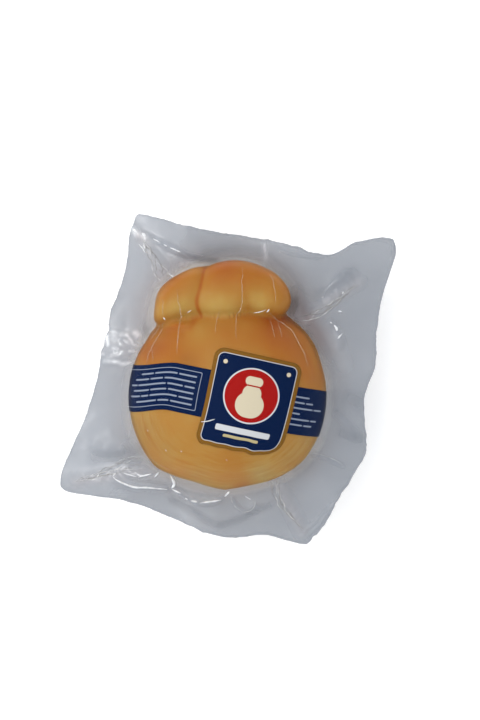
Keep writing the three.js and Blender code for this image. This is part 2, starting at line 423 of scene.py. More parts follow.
# Painted shade in the creases of the head; at the neck, smoke with painted shade under the head, more to the
# right
PAINTED_CREASE_SHADE, CREASE_WIDTH = 0.8, 0.5
NECK_SMOKE_AND_SHADE, NECK_WIDTH = 0.38, 4
# Ranges over which smoke and painted shade fade in: patches upwards, the crease on the head, and the neck
# outwards, upwards and to the right
UPPER_SIDE, ON_HEAD, PAST_NECK, UP_AT_NECK, TO_RIGHT = (-12, 8), (-2, 0), (-0.4, 0.6), (20, 30), (-8, 18)

skin_x, skin_y, skin_z = skin.T


def soft_patches(patches):
    """The sum of round patches that fade outwards, on the upper side of the skin."""
    total = np.zeros(len(skin))
    for x, y, reach, amount in patches:
        total += amount * np.exp(-((skin_x - x) ** 2 + (skin_y - y) ** 2) / reach**2)
    return total * ease(skin_z, *UPPER_SIDE)


smoke = SMOKE_BASE + soft_patches(SMOKE_LIGHT_AND_SHADE_PATCHES)
left_side, right_side = head_sides(skin_x, skin_y, skin_z, CHEESE_BLENDS)
head_side = np.minimum(left_side, right_side)
body_side = body_distance(skin_x, skin_y, skin_z)
crease = bell(left_side - right_side, CREASE_WIDTH) * ease(-head_side, *ON_HEAD)
past_neck = head_side - body_side
neck = bell(past_neck, NECK_WIDTH) * ease(past_neck, *PAST_NECK) * ease(skin_y, *UP_AT_NECK)
# The crease gets painted shade, the neck smoke and painted shade
smoke += PAINTED_CREASE_SHADE * crease + NECK_SMOKE_AND_SHADE * neck * (0.5 + 0.5 * ease(skin_x, *TO_RIGHT))
point_values(cheese, "smoke", np.clip(smoke, LEAST_SMOKE, 1))
inside = rim_bulge(skin_x, skin_y) - outside_outline(skin_x, skin_y, CHEESE_BLENDS)
# Painted light along the rim, most at the shoulder, taken off the painted shade
at_shoulder = np.exp(-((skin_x - SHOULDER[0]) ** 2 + (skin_y - SHOULDER[1]) ** 2) / SHOULDER_REACH**2)
painted_rim_light = bell(np.maximum(inside - FILM_GAP, 0), PAINTED_RIM_LIGHT_WIDTH) * (PAINTED_RIM_LIGHT + PAINTED_SHOULDER_LIGHT * at_shoulder)
point_values(cheese, "damp", np.clip(soft_patches(PAINTED_SHADE_PATCHES), 0, 1) - painted_rim_light)
print("smoke from", round(float(smoke.min()), 2), "to", round(float(smoke.max()), 2))

# %% Where the curd is streaked
STREAK_DEPTH, STREAK_FROM = 13, 2
# Where streaks fade in: below the middle, on the right and not far above it, and not where the rim closes
STREAKS_BELOW, STREAKS_RIGHT, STREAKS_UP, RIM_END = (-4, 14), (18, 34), (-2, 10), (-132, -126)
RIGHT_STREAKS = 0.6

along_rim = np.arctan2(skin_y, skin_x) * BODY_HALF[0]
low = ease(-skin_y, *STREAKS_BELOW)
low += RIGHT_STREAKS * ease(skin_x, *STREAKS_RIGHT) * ease(skin_y, *STREAKS_UP)
streaked = bell(inside - STREAK_FROM, STREAK_DEPTH) * low
streaked *= ease(-np.abs(along_rim), *RIM_END)
point_values(cheese, "streaked", np.clip(streaked, 0, 1))


def vector_values(piece, name, values):
    """Stores one vector for each point of a piece."""
    layer = piece.data.attributes.new(name, "FLOAT_VECTOR", "POINT")
    layer.data.foreach_set("vector", np.asarray(values, np.float32).ravel())


vector_values(cheese, "rim_mm", np.stack([along_rim, inside, 0 * inside], 1))
print("streaked points:", int((streaked > 0.3).sum()))


# %% Helpers for materials
def add(tree, kind, **settings):
    """A shader or geometry node with its plain settings and its socket values set by name."""
    node = tree.nodes.new(kind)
    for key, value in settings.items():
        if hasattr(node, key):
            setattr(node, key, value)
        else:
            set_inputs(node, **{key: value})
    return node


def ramp(tree, share, stops):
    """A colour from (place, linear red, green, blue) stops, by a share from 0 to 1."""
    node = tree.nodes.new("ShaderNodeValToRGB")
    elements = node.color_ramp.elements
    while len(elements) < len(stops):
        elements.new(0.5)
    for element, (place, *colour) in zip(elements, stops):
        element.position = place
        element.color = (*colour, 1)
    tree.links.new(share, node.inputs["Fac"])
    return node.outputs["Color"]


def feed(tree, value, socket):
    """Links a socket to an input, or sets the input where the value is a plain one."""
    if hasattr(value, "is_linked"):
        tree.links.new(value, socket)
    else:
        socket.default_value = value


def chain(tree, kind, operation, *inputs, **settings):
    """A Math or Vector Math node fed with sockets and numbers in order; returns its result."""
    node = add(tree, kind, operation=operation, **settings)
    for value, socket in zip(inputs, node.inputs):
        feed(tree, value, socket)
    return node.outputs["Value" if operation == "LENGTH" else 0]


def attribute(tree, name, output="Fac"):
    """The values that a piece stores for its points."""
    return add(tree, "ShaderNodeAttribute", attribute_name=name).outputs[output]


def noise(tree, place, **settings):
    """Noise at a place, as one number."""
    node = add(tree, "ShaderNodeTexNoise", **settings)
    tree.links.new(place, node.inputs["Vector"])
    return node.outputs["Fac"]


def mixed(tree, below, share, colour, **settings):
    """A colour over the one below it, or multiplied with it, by a share that varies."""
    node = add(tree, "ShaderNodeMix", data_type="RGBA", **settings)
    first, second = [socket for socket in node.inputs if socket.type == "RGBA"]
    feed(tree, below, first)
    second.default_value = colour
    tree.links.new(share, node.inputs["Factor"])
    return [socket for socket in node.outputs if socket.type == "RGBA"][0]


def bumped(tree, height, shader, strength, distance):
    """A bump on a shader's normal."""
    node = add(tree, "ShaderNodeBump", Strength=strength, Distance=distance)
    tree.links.new(height, node.inputs["Height"])
    tree.links.new(node.outputs["Normal"], shader.inputs["Normal"])


# %% Material of the skin
CLOUD_SHARE, STREAK_SHARE, FIBRE_SHARE, STREAK_RELIEF = 0.34, 0.95, 0.1, 3.0
FIBRE_STRETCH, STREAK_STRETCH = (520, 45, 520), (0.045, 0.9, 1)
# From the least smoke to the most. The palest stop, below no smoke at all, paints light on the lower fronts
# of the lobes.
SMOKE_COLOURS = (
    (0.0, 0.68, 0.46, 0.145),
    (0.13, 0.48, 0.3, 0.075),
    (0.42, 0.42, 0.192, 0.033),
    (0.7, 0.395, 0.138, 0.017),
    (1.0, 0.35, 0.088, 0.01),
)
# Multiplied over the skin: painted shade where the number is above 0, painted light at the rim where it is
# below 0
PAINTED_SHADE_TINT = (0.8, 0.82, 0.97, 1)

skin_material, skin_shader = principled(
    "smoked_skin",
    Roughness=0.5,
    Specular_IOR_Level=0.12,
    Subsurface_Weight=0.3,
    Subsurface_Radius=(1.0, 0.5, 0.2),
    Subsurface_Scale=0.004,
    Coat_Weight=0.04,
    Coat_Roughness=0.32,
)
tree = skin_material.node_tree
place = add(tree, "ShaderNodeTexCoord").outputs["Object"]
fibre_place = chain(tree, "ShaderNodeVectorMath", "MULTIPLY", place, FIBRE_STRETCH)
rim_place = attribute(tree, "rim_mm", "Vector")
streak_place = chain(tree, "ShaderNodeVectorMath", "MULTIPLY", rim_place, STREAK_STRETCH)
cloud = noise(tree, place, Scale=75, Detail=3, Roughness=0.5)
fibre = noise(tree, fibre_place, Scale=1, Detail=2)
streak = noise(tree, streak_place, Scale=1, Detail=3, Roughness=0.72)
centred = [chain(tree, "ShaderNodeMath", "SUBTRACT", value, 0.5) for value in (cloud, fibre, streak)]
cloud, fibre, streak = centred
streak = chain(tree, "ShaderNodeMath", "MULTIPLY", streak, attribute(tree, "streaked"))
shade = attribute(tree, "smoke")
for value, share in ((cloud, CLOUD_SHARE), (fibre, FIBRE_SHARE), (streak, STREAK_SHARE)):
    shade = chain(tree, "ShaderNodeMath", "MULTIPLY_ADD", value, share, shade)
whole = 1 - LEAST_SMOKE
shade = chain(tree, "ShaderNodeMath", "MULTIPLY_ADD", shade, 1 / whole, -LEAST_SMOKE / whole)
colour = ramp(tree, shade, SMOKE_COLOURS)
# Painted shade in patches and painted light at the rim
damp = attribute(tree, "damp")
colour = mixed(tree, colour, damp, PAINTED_SHADE_TINT, blend_type="MULTIPLY", clamp_factor=False)
tree.links.new(colour, skin_shader.inputs["Base Color"])
fine = noise(tree, place, Scale=900, Detail=3)
relief = chain(tree, "ShaderNodeMath", "MULTIPLY_ADD", streak, STREAK_RELIEF, fine)
bumped(tree, relief, skin_shader, 0.06, 0.0004)
cheese.data.materials.append(skin_material)
print("skin nodes:", len(tree.nodes))

# %% [markdown]
# ## The film
# Two sheets of shrink film, sealed along the edges of the bag. They cling to the cheese, leave it round its
# widest part and meet in a wavy skirt. Cloth simulation could crumple it, but the folds of shrunk film stay
# where they set, so they are listed one by one: each fold is a line with a height and a width.
# The sheets are two fields of heights on a net of spokes and rings, closed along the bag's edge.

# %% Edge of the bag
# Corners of the bag in order, how round each is, and how far the edge after it is drawn in at even steps
CORNERS = (
    ((75.2, 70.9), 7, (2.3, 5.6, 11.7, 11.2, 8.6, 7.3, 6.7, 6.2, 5.4, 3.9, 1.8)),
    ((-40.5, 80.8), 3, (-0.1, 2, 2.7, 1.7, 2.7, 3.5, 4.6, 4.2, 3.5, 2.1, 0.5)),
    ((-76, -41.8), 6, (0.9, 1.8, 2.5, 2.1, 0.5, -1.3, -3.1, -3.7, -2, 0.9, 0.2)),
    ((35, -66), 3, (-4.2, -6.8, -10.5, -12.8, -8.3, -4.7, -6, -3.1, -1.3, -0.9, -1.4)),
)
EDGE_ROUNDING, ROUNDING_REACH = 1.5, 9
EDGE_STEPS = 60
SPOKES = 480
# Nicks of the cut edge: their size and depth
NICKS, NICK_SEED = ((7, 0.3), (2.5, 0.16)), 5
# Bites out of the cut edge, and bumps where the depth is negative: place, reach and depth
BITES = (
    ((-43, 76.5), 1.3, 1.0),
    ((-54.4, 18.6), 2.2, -0.7),
    ((-52.3, 29), 1.6, 0.6),
    ((54.5, 66.6), 2.4, -0.9),
    ((30.7, 64.3), 2.4, -0.7),
    ((46.8, -46.8), 1.2, 0.5),
    ((42.8, -56.4), 1.5, -0.7),
    ((37.6, -62.4), 1.2, 0.5),
)


def smooth_curve(values, steps):
    """A smooth curve through values at even steps, as numbers or as points."""
    values = np.asarray(values, float)
    ends = np.concatenate([[2 * values[0] - values[1]], values, [2 * values[-1] - values[-2]]])
    place = np.linspace(0, len(values) - 1, steps)
    index = np.minimum(place.astype(int), len(values) - 2)
    share = (place - index).reshape((-1,) + (1,) * (values.ndim - 1))
    p0, p1, p2, p3 = ends[index], ends[index + 1], ends[index + 2], ends[index + 3]
    return 0.5 * (
        2 * p1
        + (p2 - p0) * share
        + (2 * p0 - 5 * p1 + 4 * p2 - p3) * share**2
        + (3 * p1 - p0 - 3 * p2 + p3) * share**3
    )


edge = []
for (start, _, drawn_in), (end, *_) in zip(CORNERS, CORNERS[1:] + CORNERS[:1]):
    start, side = np.array(start), np.array(end) - np.array(start)
    inward = np.array((-side[1], side[0])) / np.hypot(*side)
    share = np.linspace(0, 1, EDGE_STEPS + 1)[:-1, None]
    depth = smooth_curve((0, *drawn_in, 0), EDGE_STEPS + 1)[:-1, None]
    edge.append(start + share * side + depth * inward)
edge = np.vstack(edge)
rounding = np.full(len(edge), EDGE_ROUNDING)
for corner, corner_rounding, _ in CORNERS:
    apart = np.hypot(*(edge - corner).T)
    rounding += (corner_rounding - EDGE_ROUNDING) * bell(apart, ROUNDING_REACH)
near = np.exp(-((edge[:, None] - edge[None]) ** 2).sum(2) / rounding[:, None] ** 2)
edge = near @ edge / near.sum(1, keepdims=True)


LATTICE = 128


def hills(x, y, size, seed):
    """Smooth random hills of about the given size, between -1 and 1."""
    lattice = np.random.default_rng(seed).uniform(-1, 1, (LATTICE, LATTICE))
    gx, gy = x / size + LATTICE // 2, y / size + LATTICE // 2
    ix, iy = np.floor(gx).astype(int), np.floor(gy).astype(int)
    fx, fy = gx - ix, gy - iy
    fx, fy = [f**3 * (f * (f * 6 - 15) + 10) for f in (fx, fy)]

    def corner(i, j):
        return lattice[(ix + i) % LATTICE, (iy + j) % LATTICE]

    low = corner(0, 0) * (1 - fx) + corner(1, 0) * fx
    high = corner(0, 1) * (1 - fx) + corner(1, 1) * fx
    return low * (1 - fy) + high * fy


spoke_angles = np.linspace(0, 2 * math.pi, SPOKES, endpoint=False)
edge_angles = np.unwrap(np.arctan2(edge[:, 1], edge[:, 0]))
edge_radii = np.hypot(edge[:, 0], edge[:, 1])
edge_radius = np.interp(spoke_angles, edge_angles, edge_radii, period=2 * math.pi)
for size, depth in NICKS:
    edge_x, edge_y = edge_radius * np.cos(spoke_angles), edge_radius * np.sin(spoke_angles)
    edge_radius = edge_radius + depth * (0.5 - 2 * np.abs(hills(edge_x, edge_y, size, NICK_SEED)))
for place, reach, depth in BITES:
    apart = np.hypot(edge_x - place[0], edge_y - place[1])
    edge_radius = edge_radius - depth * bell(apart, reach)
print("bag edge from", round(edge_radius.min(), 1), "to", round(edge_radius.max(), 1), "mm from the middle")

# %% Folds and gathers of the film
FOLD_STEPS, FOLD_FADE = 24, 0.2
# Each fold: points of its line, its height and its half width
FOLDS = (
    (((-53, -34.6), (-48.1, -37.2), (-41.3, -39.8), (-35.6, -40.1), (-26.7, -40.9), (-23, -39)), 1.5, 2.0),
    (((-24.7, -38), (-20.7, -42.6), (-15, -46), (-11, -46.8), (-5, -46), (0.4, -41)), 1.5, 2.0),
    (((0.9, -42), (3.2, -47.8), (7.2, -50), (11, -48.9), (13, -45)), 0.9, 1.6),
    (((-25.5, -33), (-23.8, -37), (-24.6, -41)), 1.2, 1.4),
    (((-47, -33), (-40, -35.4), (-33, -34), (-30, -31.5)), 0.9, 1.2),
    (((-55, 27.2), (-48, 26.4), (-42.5, 24), (-38.5, 25.5)), 0.8, 2.4),
    (((-47, 26), (-41.8, 21.2), (-37, 20)), 0.6, 1.5),
    (((-50, 20.4), (-44, 19.4), (-39, 18.6)), 0.5, 1.3),
    (((-56, 15.4), (-48, 14.8), (-41, 14.4)), 0.8, 1.8),
    (((42, 34), (46.5, 30.6), (47.6, 28), (48.8, 25), (47.5, 18)), 1.3, 2.0),
    (((42, 40), (48, 47), (55, 54)), 1.4, 2.6),
    (((-45, 75), (-39, 70.6), (-33, 68.4), (-21, 62.6), (-8, 58)), 1.4, 1.7),
    (((20, 64.6), (29, 61.7), (44, 60)), 0.8, 1.0),
    (((-26, -44), (-14, -51), (-4.8, -57)), -1.0, 2.4),
    (((-4.8, -57), (5, -54), (15, -51)), -0.8, 2.2),
    (((34, -24.5), (43, -27.6), (53, -32)), 0.8, 1.3),
    (((45, -6), (50, -11), (58, -19)), 0.9, 2.0),
    (((48, -44), (40.5, -55), (33, -63.5)), 0.6, 0.8),
    (((45.5, -45), (38, -55), (30.5, -62.5)), 0.5, 0.8),
    (((-62, -20), (-53, -24), (-44, -23)), 0.9, 2.4),
)
# Gathers of film towards each corner: from the cheese outwards
GATHERS = (
    ((31, 32), (57, 49.5)),
    ((-27, 50), (-39, 70)),
    ((-33, -31.5), (-67, -38)),
    ((21, -37), (32, -59)),
)
GATHER_ROOT, GATHER_END, GATHER_BLEND = 2.2, 0.4, 6
CRUMPLE_REACH, CRUMPLE_HEIGHT, CRUMPLE_SIZE, CRUMPLE_SEED = 3, 0.35, 1.5, 21


def line_distance(x, y, line):
    """Distance from points to a line of straight pieces, and how far along it they are, 0 to 1."""
    line = np.asarray(line, float)
    lengths = np.hypot(*np.diff(line, axis=0).T)
    best = np.full(x.shape, 1e9)
    along = np.zeros(x.shape)
    done = 0.0
    for start, end, length in zip(line[:-1], line[1:], lengths):
        way = (end - start) / length
        share = np.clip((x - start[0]) * way[0] + (y - start[1]) * way[1], 0, length)
        apart = np.hypot(x - start[0] - share * way[0], y - start[1] - share * way[1])
        nearer = apart < best
        best = np.where(nearer, apart, best)
        along = np.where(nearer, (done + share) / lengths.sum(), along)
        done += length
    return best, along


def fold_height(x, y):
    """Height of all folds at points seen from above."""
    height = np.zeros(x.shape)
    for line, tall, half_width in FOLDS:
        apart, along = line_distance(x, y, smooth_curve(line, FOLD_STEPS))
        fade = ease(along, 0, FOLD_FADE) * ease(1 - along, 0, FOLD_FADE)
        height += tall * fade * bell(apart, half_width)
    return height


def gather_nearness(x, y):
    """1 on the gathers towards the corners, 0 away from them."""
    near = np.zeros(x.shape)
    for line in GATHERS:
        apart, _ = line_distance(x, y, line)
        near = np.maximum(near, bell(apart, CRUMPLE_REACH))
    return near


# %% Heights of the two sheets
SKIRT_THICKNESS, SKIRT_RISE = 1.2, 1
CORNER_DROOP, DROOP_FROM, DROOP_TO = 9, 50, 96
RUFFLE_HEIGHT, RUFFLE_WAVES, RUFFLE_PHASE, RUFFLE_FROM = 2.6, 7, 0.8, 0.62
TENT_WIDTH, TENT_VARIATION, TENT_TURN = 13, 5, 0.35
# Hills of the skirt: size, height and seed
HILL_SIZES = ((17, 1.1, 3), (8, 0.45, 8))
# How far outside the cheese's outline hills begin, and folds
HILLS_FROM, FOLDS_FROM = (2, 12), (-3, 2)


def skirt_height(x, y, edge_at):
    """Middle height of the skirt, with its droop at the corners and its ruffles."""
    reach, angle = np.hypot(x, y), np.arctan2(y, x)
    ruffle = ease(reach / edge_at, RUFFLE_FROM, 1) * np.sin(RUFFLE_WAVES * angle + RUFFLE_PHASE)
    return SKIRT_RISE - CORNER_DROOP * ease(reach, DROOP_FROM, DROOP_TO) + RUFFLE_HEIGHT * ruffle


def ridge_distance(x, y, z, start, end):
    """Distance to a ridge that tapers from the cheese towards a corner."""
    start, way = np.array(start), np.array(end) - np.array(start)
    share = ((x - start[0]) * way[0] + (y - start[1]) * way[1] + (z - start[2]) * way[2]) / (way @ way)
    share = np.clip(share, 0, 1)
    apart = [p - start[i] - share * way[i] for i, p in enumerate((x, y, z))]
    return np.sqrt(sum(a**2 for a in apart)) - (GATHER_ROOT + (GATHER_END - GATHER_ROOT) * share)


def edge_at_point(x, y):
    """Distance of the bag's edge from the middle, in a point's direction."""
    return np.interp(np.arctan2(y, x), spoke_angles, edge_radius, period=2 * math.pi)


def with_height(point):
    """A point of the skirt, with its height."""
    x, y = np.array([point[0]], float), np.array([point[1]], float)
    return (*point, float(skirt_height(x, y, edge_at_point(x, y))[0]))


GATHER_RIDGES = [(with_height(start), with_height(end)) for start, end in GATHERS]
print("folds:", len(FOLDS), "gathers:", len(GATHER_RIDGES))


def sheet_height(x, y, side):
    """Height where upright lines meet the bag: from above with side 1, from below with side -1."""
    skirt = skirt_height(x, y, edge_at_point(x, y))
    outside = outside_outline(x, y, FILM_BLENDS)
    free = ease(outside, *HILLS_FROM)
    for size, tall, seed in HILL_SIZES:
        skirt = skirt + free * tall * hills(x, y, size, seed)
    tent = TENT_WIDTH + TENT_VARIATION * np.cos(2 * (np.arctan2(y, x) - TENT_TURN))
    z = np.full(x.shape, side * BODY_HALF[2] * 2)
    for step in range(WALK_STEPS):
        bag = join(np.abs(z - skirt) - SKIRT_THICKNESS / 2, lump_distance(x, y, z, FILM_BLENDS), tent)
        for start, end in GATHER_RIDGES:
            bag = join(bag, ridge_distance(x, y, z, start, end), GATHER_BLEND)
        z = z - side * WALK_SHARE * bag
    if side > 0:
        loose = ease(outside, *FOLDS_FROM)
        z = z + fold_height(x, y) * loose
        z = z + CRUMPLE_HEIGHT * gather_nearness(x, y) * hills(x, y, CRUMPLE_SIZE, CRUMPLE_SEED) * loose
    return np.maximum(z, -MIDDLE_HEIGHT)


# %% Build the film
TOP_RINGS, UNDER_RINGS = (42, 114), (18, 20)
SMOOTHED_SPOKES, RING_SPREAD = 12, 1.15


def cheese_radius():
    """Radius of the cheese seen from above, on every spoke, passing its notches in a smooth line."""
    radius = edge_radius.copy()
    for step in range(WALK_STEPS):
        x, y = radius * np.cos(spoke_angles), radius * np.sin(spoke_angles)
        radius -= WALK_SHARE * outside_outline(x, y, FILM_BLENDS)
    kernel = np.ones(2 * SMOOTHED_SPOKES + 1) / (2 * SMOOTHED_SPOKES + 1)
    return np.convolve(np.pad(radius, SMOOTHED_SPOKES, "wrap"), kernel, "valid")


def sheet_points(side, rings):
    """Points of one sheet, ring by ring outwards."""
    on_cheese, on_skirt = rings
    inner = np.sin(np.linspace(0, 1, on_cheese + 1)[1:] * math.pi / 2)[:, None] * waist
    outer = waist + (np.linspace(0, 1, on_skirt + 1)[1:] ** RING_SPREAD)[:, None] * (edge_radius - waist)
    reach = np.vstack([inner, outer])
    x, y = (reach * np.cos(spoke_angles)).ravel(), (reach * np.sin(spoke_angles)).ravel()
    return np.stack([x, y, sheet_height(x, y, side)], 1)


waist = cheese_radius()
upper, under = sheet_points(1, TOP_RINGS), sheet_points(-1, UNDER_RINGS)
zero = np.zeros(1)
upper_end = [(0, 0, float(sheet_height(zero, zero, 1)[0]))]
under_end = [(0, 0, float(sheet_height(zero, zero, -1)[0]))]
under_inwards = under.reshape(-1, SPOKES, 3)[::-1].reshape(-1, 3)
film_points = np.vstack([upper_end, upper, under_inwards, under_end])
film_rows = sum(TOP_RINGS) + sum(UNDER_RINGS)
film = plain_piece("film", film_points, globe_faces(film_rows, SPOKES))

# %% [markdown]
# ## The film's finish
# Where the film touches the moist cheese it is all but invisible. In the skirt its two sheets are cool grey:
# partly the film's own haze, partly painted shade standing in for the shaded ground seen through it. Every
# fold doubles the film, so it is milkier there, and marks along folds and round the cheese paint highlights
# and shade into it. Near the cheese it also takes a painted warm shade, the cheese's colour reflected in it.
# The upper sheet clears again where it comes close to the cheese. A number for each point gives how much the
# film hides what is behind it. The shader's Alpha reads it, which lets light straight through to the cheese.

# %% Painted highlights and shade in the film
# Painted highlights where the film is milky in many layers, painted shade and shadow where it dips or lies
# beside the cheese or a fold (negative): points of a line, half width, amount
PAINTED_LIGHT_AND_SHADE_MARKS = (
    (((-50, 27.2), (-49.6, 24.6)), 1.5, 0.5),
    (((-46.2, 26.9), (-44.6, 26.6)), 1.1, 0.4),
    (((-40.4, 27.4), (-39.4, 26.4)), 1.3, 0.65),
    (((-44.2, 26.7), (-42, 23.9), (-40.9, 22.3), (-38.1, 22.3)), 0.6, 0.5),
    (((-50.1, 20.7), (-48, 20.4)), 0.6, 0.5),
    (((-50.6, 17.8), (-48, 17.8)), 0.8, 0.25),
    (((-42.9, 19.5), (-39.5, 19.2)), 0.5, 0.4),
    (((-53.7, 15.2), (-47.9, 14.6), (-45.6, 14), (-41.2, 14.3)), 0.9, 0.6),
    (((-52.7, 25.6), (-52.4, 22.2)), 0.7, 0.85),
    (((-50, 23), (-41, 23)), 5.5, 0.12),
    (((-38, 74), (-48, 40), (-54, 5), (-64, -28)), 15, 0.12),
    (((-36.2, 29), (-35.4, 26.4)), 1.6, -0.35),
    (((-42.9, 73.5), (-39.5, 70.7)), 1.2, 0.7),
    (((-37.4, 70), (-36.6, 69.5)), 1.2, 0.6),
    (((15.8, 66), (16, 63), (16.3, 59.8)), 0.9, 0.5),
    (((-20, 56.8), (-9, 57)), 1.6, 0.2),
    # Painted shadow of the head on the film above it
    (((-8, 59.4), (1, 60.8), (12, 58.6), (21, 53), (27, 45.4), (28.6, 39)), 6, -0.45),
    (((-21, 61.5), (-14, 60.1), (-6, 59.1)), 1.3, -0.35),
    (((-24.5, -45.8), (-14, -50.8), (-4.5, -56), (3, -54.6), (10.8, -51.2), (17.6, -47.7)), 1.8, -0.25),
    (((-58, -26.5), (-46.6, -24.7), (-38.3, -23.8)), 3, -0.17),
    (((39.2, 44.3), (50.7, 52.3), (54.7, 54.8)), 2.5, -0.18),
    (((36, 28), (41, 19), (44, 10)), 2.5, -0.13),
    (((45.5, 1), (46, -5)), 2.5, -0.14),
    (((46.5, 25), (49.5, 14)), 4, 0.09),
    (((50, -16.5), (57, -19)), 2.5, -0.22),
    (((53, -1), (57, -3)), 4, -0.16),
    (((30, -31), (34, -28)), 4, -0.2),
)
MARK_STEPS = 16
# Narrow marks are uneven: up to this half width, by this share and with hills of these sizes and seeds
UNEVEN_UP_TO, UNEVEN_SHARE, UNEVEN_SIZES = 1.6, 0.3, ((1.3, 33), (3.1, 34))


def painted_film_marks(x, y):
    """How milky the film is, with its painted highlights, at points seen from above, or its painted shade
    where it is negative.
    """
    total = np.zeros(x.shape)
    uneven = np.ones(x.shape)
    for size, seed in UNEVEN_SIZES:
        uneven += UNEVEN_SHARE * hills(x, y, size, seed)
    for line, half_width, amount in PAINTED_LIGHT_AND_SHADE_MARKS:
        apart, _ = line_distance(x, y, smooth_curve(line, MARK_STEPS))
        mark = amount * bell(apart, half_width)
        total += mark * uneven if half_width < UNEVEN_UP_TO else mark
    return np.clip(total, -1, 1)


# %% Haze of the film
CLEAR_HAZE, SKIRT_HAZE, FOLD_HAZE, PAINTED_MARK_HAZE, EDGE_HAZE = 0.014, 0.56, 0.08, 0.3, 0.08
# Haze of the painted shade beside the neck, and the most haze
NECK_SHADE_HAZE, MOST_HAZE = 0.25, 0.9
# Where grey begins at the cheese's outline, in millimetres, and the thicker edge, as a share of the way out
GREY_FROM, EDGE_FROM = (-1.45, -0.85), (0.985, 1)
# The upper sheet clears as it comes close to the cheese: the share of haze left there, and over which gap
NEAR_SHARE, NEAR_GAP = 0.42, (1.2, 4.5)
FULL_FOLD, GATHER_TONE = 1.5, 0.12
# Painted warm shade, the cheese's colour reflected in the film near it, what its head adds over these
# heights, and the same in gathers and beside the neck
WARM_SHADE_REACH, BODY_WARM_SHADE, HEAD_WARM_SHADE, HEAD_FROM = 8, 0.2, 0.4, (18, 38)
GATHER_WARM_SHADE, NECK_WARM_SHADE = 0.25, 0.8
# Painted shade, warm with the cheese's reflected colour, in the film beside its neck and shoulder: points of
# its line and half width
PAINTED_NECK_SHADE_LINE = ((27.5, 40), (30.5, 35), (36.5, 27), (41, 19), (44, 10))
NECK_SHADE_WIDTH, NECK_SHADE_FADE = 5, (0, 0.5)
# Where the film was drawn tight and smooth, so that it is glossier: x, y and reach both ways
GLOSSY = (
    (-46, 22, 10, 9),
    (-40, -36, 16, 7),
    (-12, -44, 14, 7),
    (8, -47, 7, 5),
    (-35, 68, 10, 9),
    (47, 43, 11, 8),
    (48, 27, 5, 8),
)
ROUGH_FILM, SMOOTH_FILM = 0.26, 0.07

film_x, film_y = film_points[:, 0], film_points[:, 1]
from_cheese = outside_outline(film_x, film_y, CHEESE_BLENDS) - rim_bulge(film_x, film_y)
gap = lump_distance(*film_points.T, CHEESE_BLENDS) + FILM_GAP
near_share = np.where(np.arange(len(film_points)) <= len(upper), NEAR_SHARE, 1)
off_cheese = ease(from_cheese, *GREY_FROM) * (near_share + (1 - near_share) * ease(gap, *NEAR_GAP))
to_edge = np.hypot(film_x, film_y) / edge_at_point(film_x, film_y)
folded = np.clip(fold_height(film_x, film_y) / FULL_FOLD, 0, 1)
gathered = gather_nearness(film_x, film_y)
# Painted highlights and shade along the folds and round the cheese
painted_marks = painted_film_marks(film_x, film_y)
haze = SKIRT_HAZE - CLEAR_HAZE + FOLD_HAZE * np.maximum(folded, gathered)
# Painted shade beside the neck, warm with the cheese's reflected colour
from_neck_shade, along_neck_shade = line_distance(film_x, film_y, PAINTED_NECK_SHADE_LINE)
painted_neck_shade = bell(from_neck_shade, NECK_SHADE_WIDTH) * ease(1 - along_neck_shade, *NECK_SHADE_FADE)
haze = haze + PAINTED_MARK_HAZE * np.abs(painted_marks) + EDGE_HAZE * ease(to_edge, *EDGE_FROM) + NECK_SHADE_HAZE * painted_neck_shade
point_values(film, "haze", np.clip(CLEAR_HAZE + off_cheese * haze, 0, MOST_HAZE))
# Tone above 0.5 paints highlights and milkier gathers, below it paints shade
point_values(film, "tone", 0.5 + 0.5 * np.clip(painted_marks + GATHER_TONE * gathered, -1, 1))
# Painted warm shade near the cheese, stronger by the head, and in the gathers
near_cheese = bell(np.maximum(from_cheese, 0), WARM_SHADE_REACH)
warmth = near_cheese * (BODY_WARM_SHADE + HEAD_WARM_SHADE * ease(film_y, *HEAD_FROM))
point_values(film, "warmth", np.maximum(GATHER_WARM_SHADE * gathered, warmth) + NECK_WARM_SHADE * painted_neck_shade)
gloss = np.zeros(len(film_points))
for x, y, reach_x, reach_y in GLOSSY:
    gloss = np.maximum(gloss, np.exp(-(((film_x - x) / reach_x) ** 2) - ((film_y - y) / reach_y) ** 2))
point_values(film, "gloss", gloss)
print("film marks from", round(float(painted_marks.min()), 2), "to", round(float(painted_marks.max()), 2))

# %% Material of the film
# From painted shade in dips, over plain film whose grey partly paints the shaded ground seen through it, to
# milky folds with painted highlights
FILM_TINTS = ((0.0, 0.08, 0.085, 0.1), (0.5, 0.234, 0.26, 0.305), (1.0, 0.85, 0.87, 0.9))
# Multiplied over the film: painted warm shade reflected from the cheese
WARM_SHADE_TINT = (1.0, 0.76, 0.67, 1)
MIRROR_MORE, MIRROR_LEAST = 0.6, 0.4

film_material, film_shader = principled("clear_film")
tree = film_material.node_tree
tint = ramp(tree, attribute(tree, "tone"), FILM_TINTS)
# Painted warm shade from the cheese's reflected colour
tint = mixed(tree, tint, attribute(tree, "warmth"), WARM_SHADE_TINT, blend_type="MULTIPLY")
gloss_value = attribute(tree, "gloss")
smoothness = add(tree, "ShaderNodeMapRange", To_Min=ROUGH_FILM, To_Max=SMOOTH_FILM)
tree.links.new(gloss_value, smoothness.inputs["Value"])
mirror = chain(tree, "ShaderNodeMath", "MULTIPLY_ADD", gloss_value, MIRROR_MORE, MIRROR_LEAST)
tree.links.new(tint, film_shader.inputs["Base Color"])
tree.links.new(attribute(tree, "haze"), film_shader.inputs["Alpha"])
tree.links.new(smoothness.outputs["Result"], film_shader.inputs["Roughness"])
tree.links.new(mirror, film_shader.inputs["Specular IOR Level"])
film.data.materials.append(film_material)
print("film nodes:", len(tree.nodes))

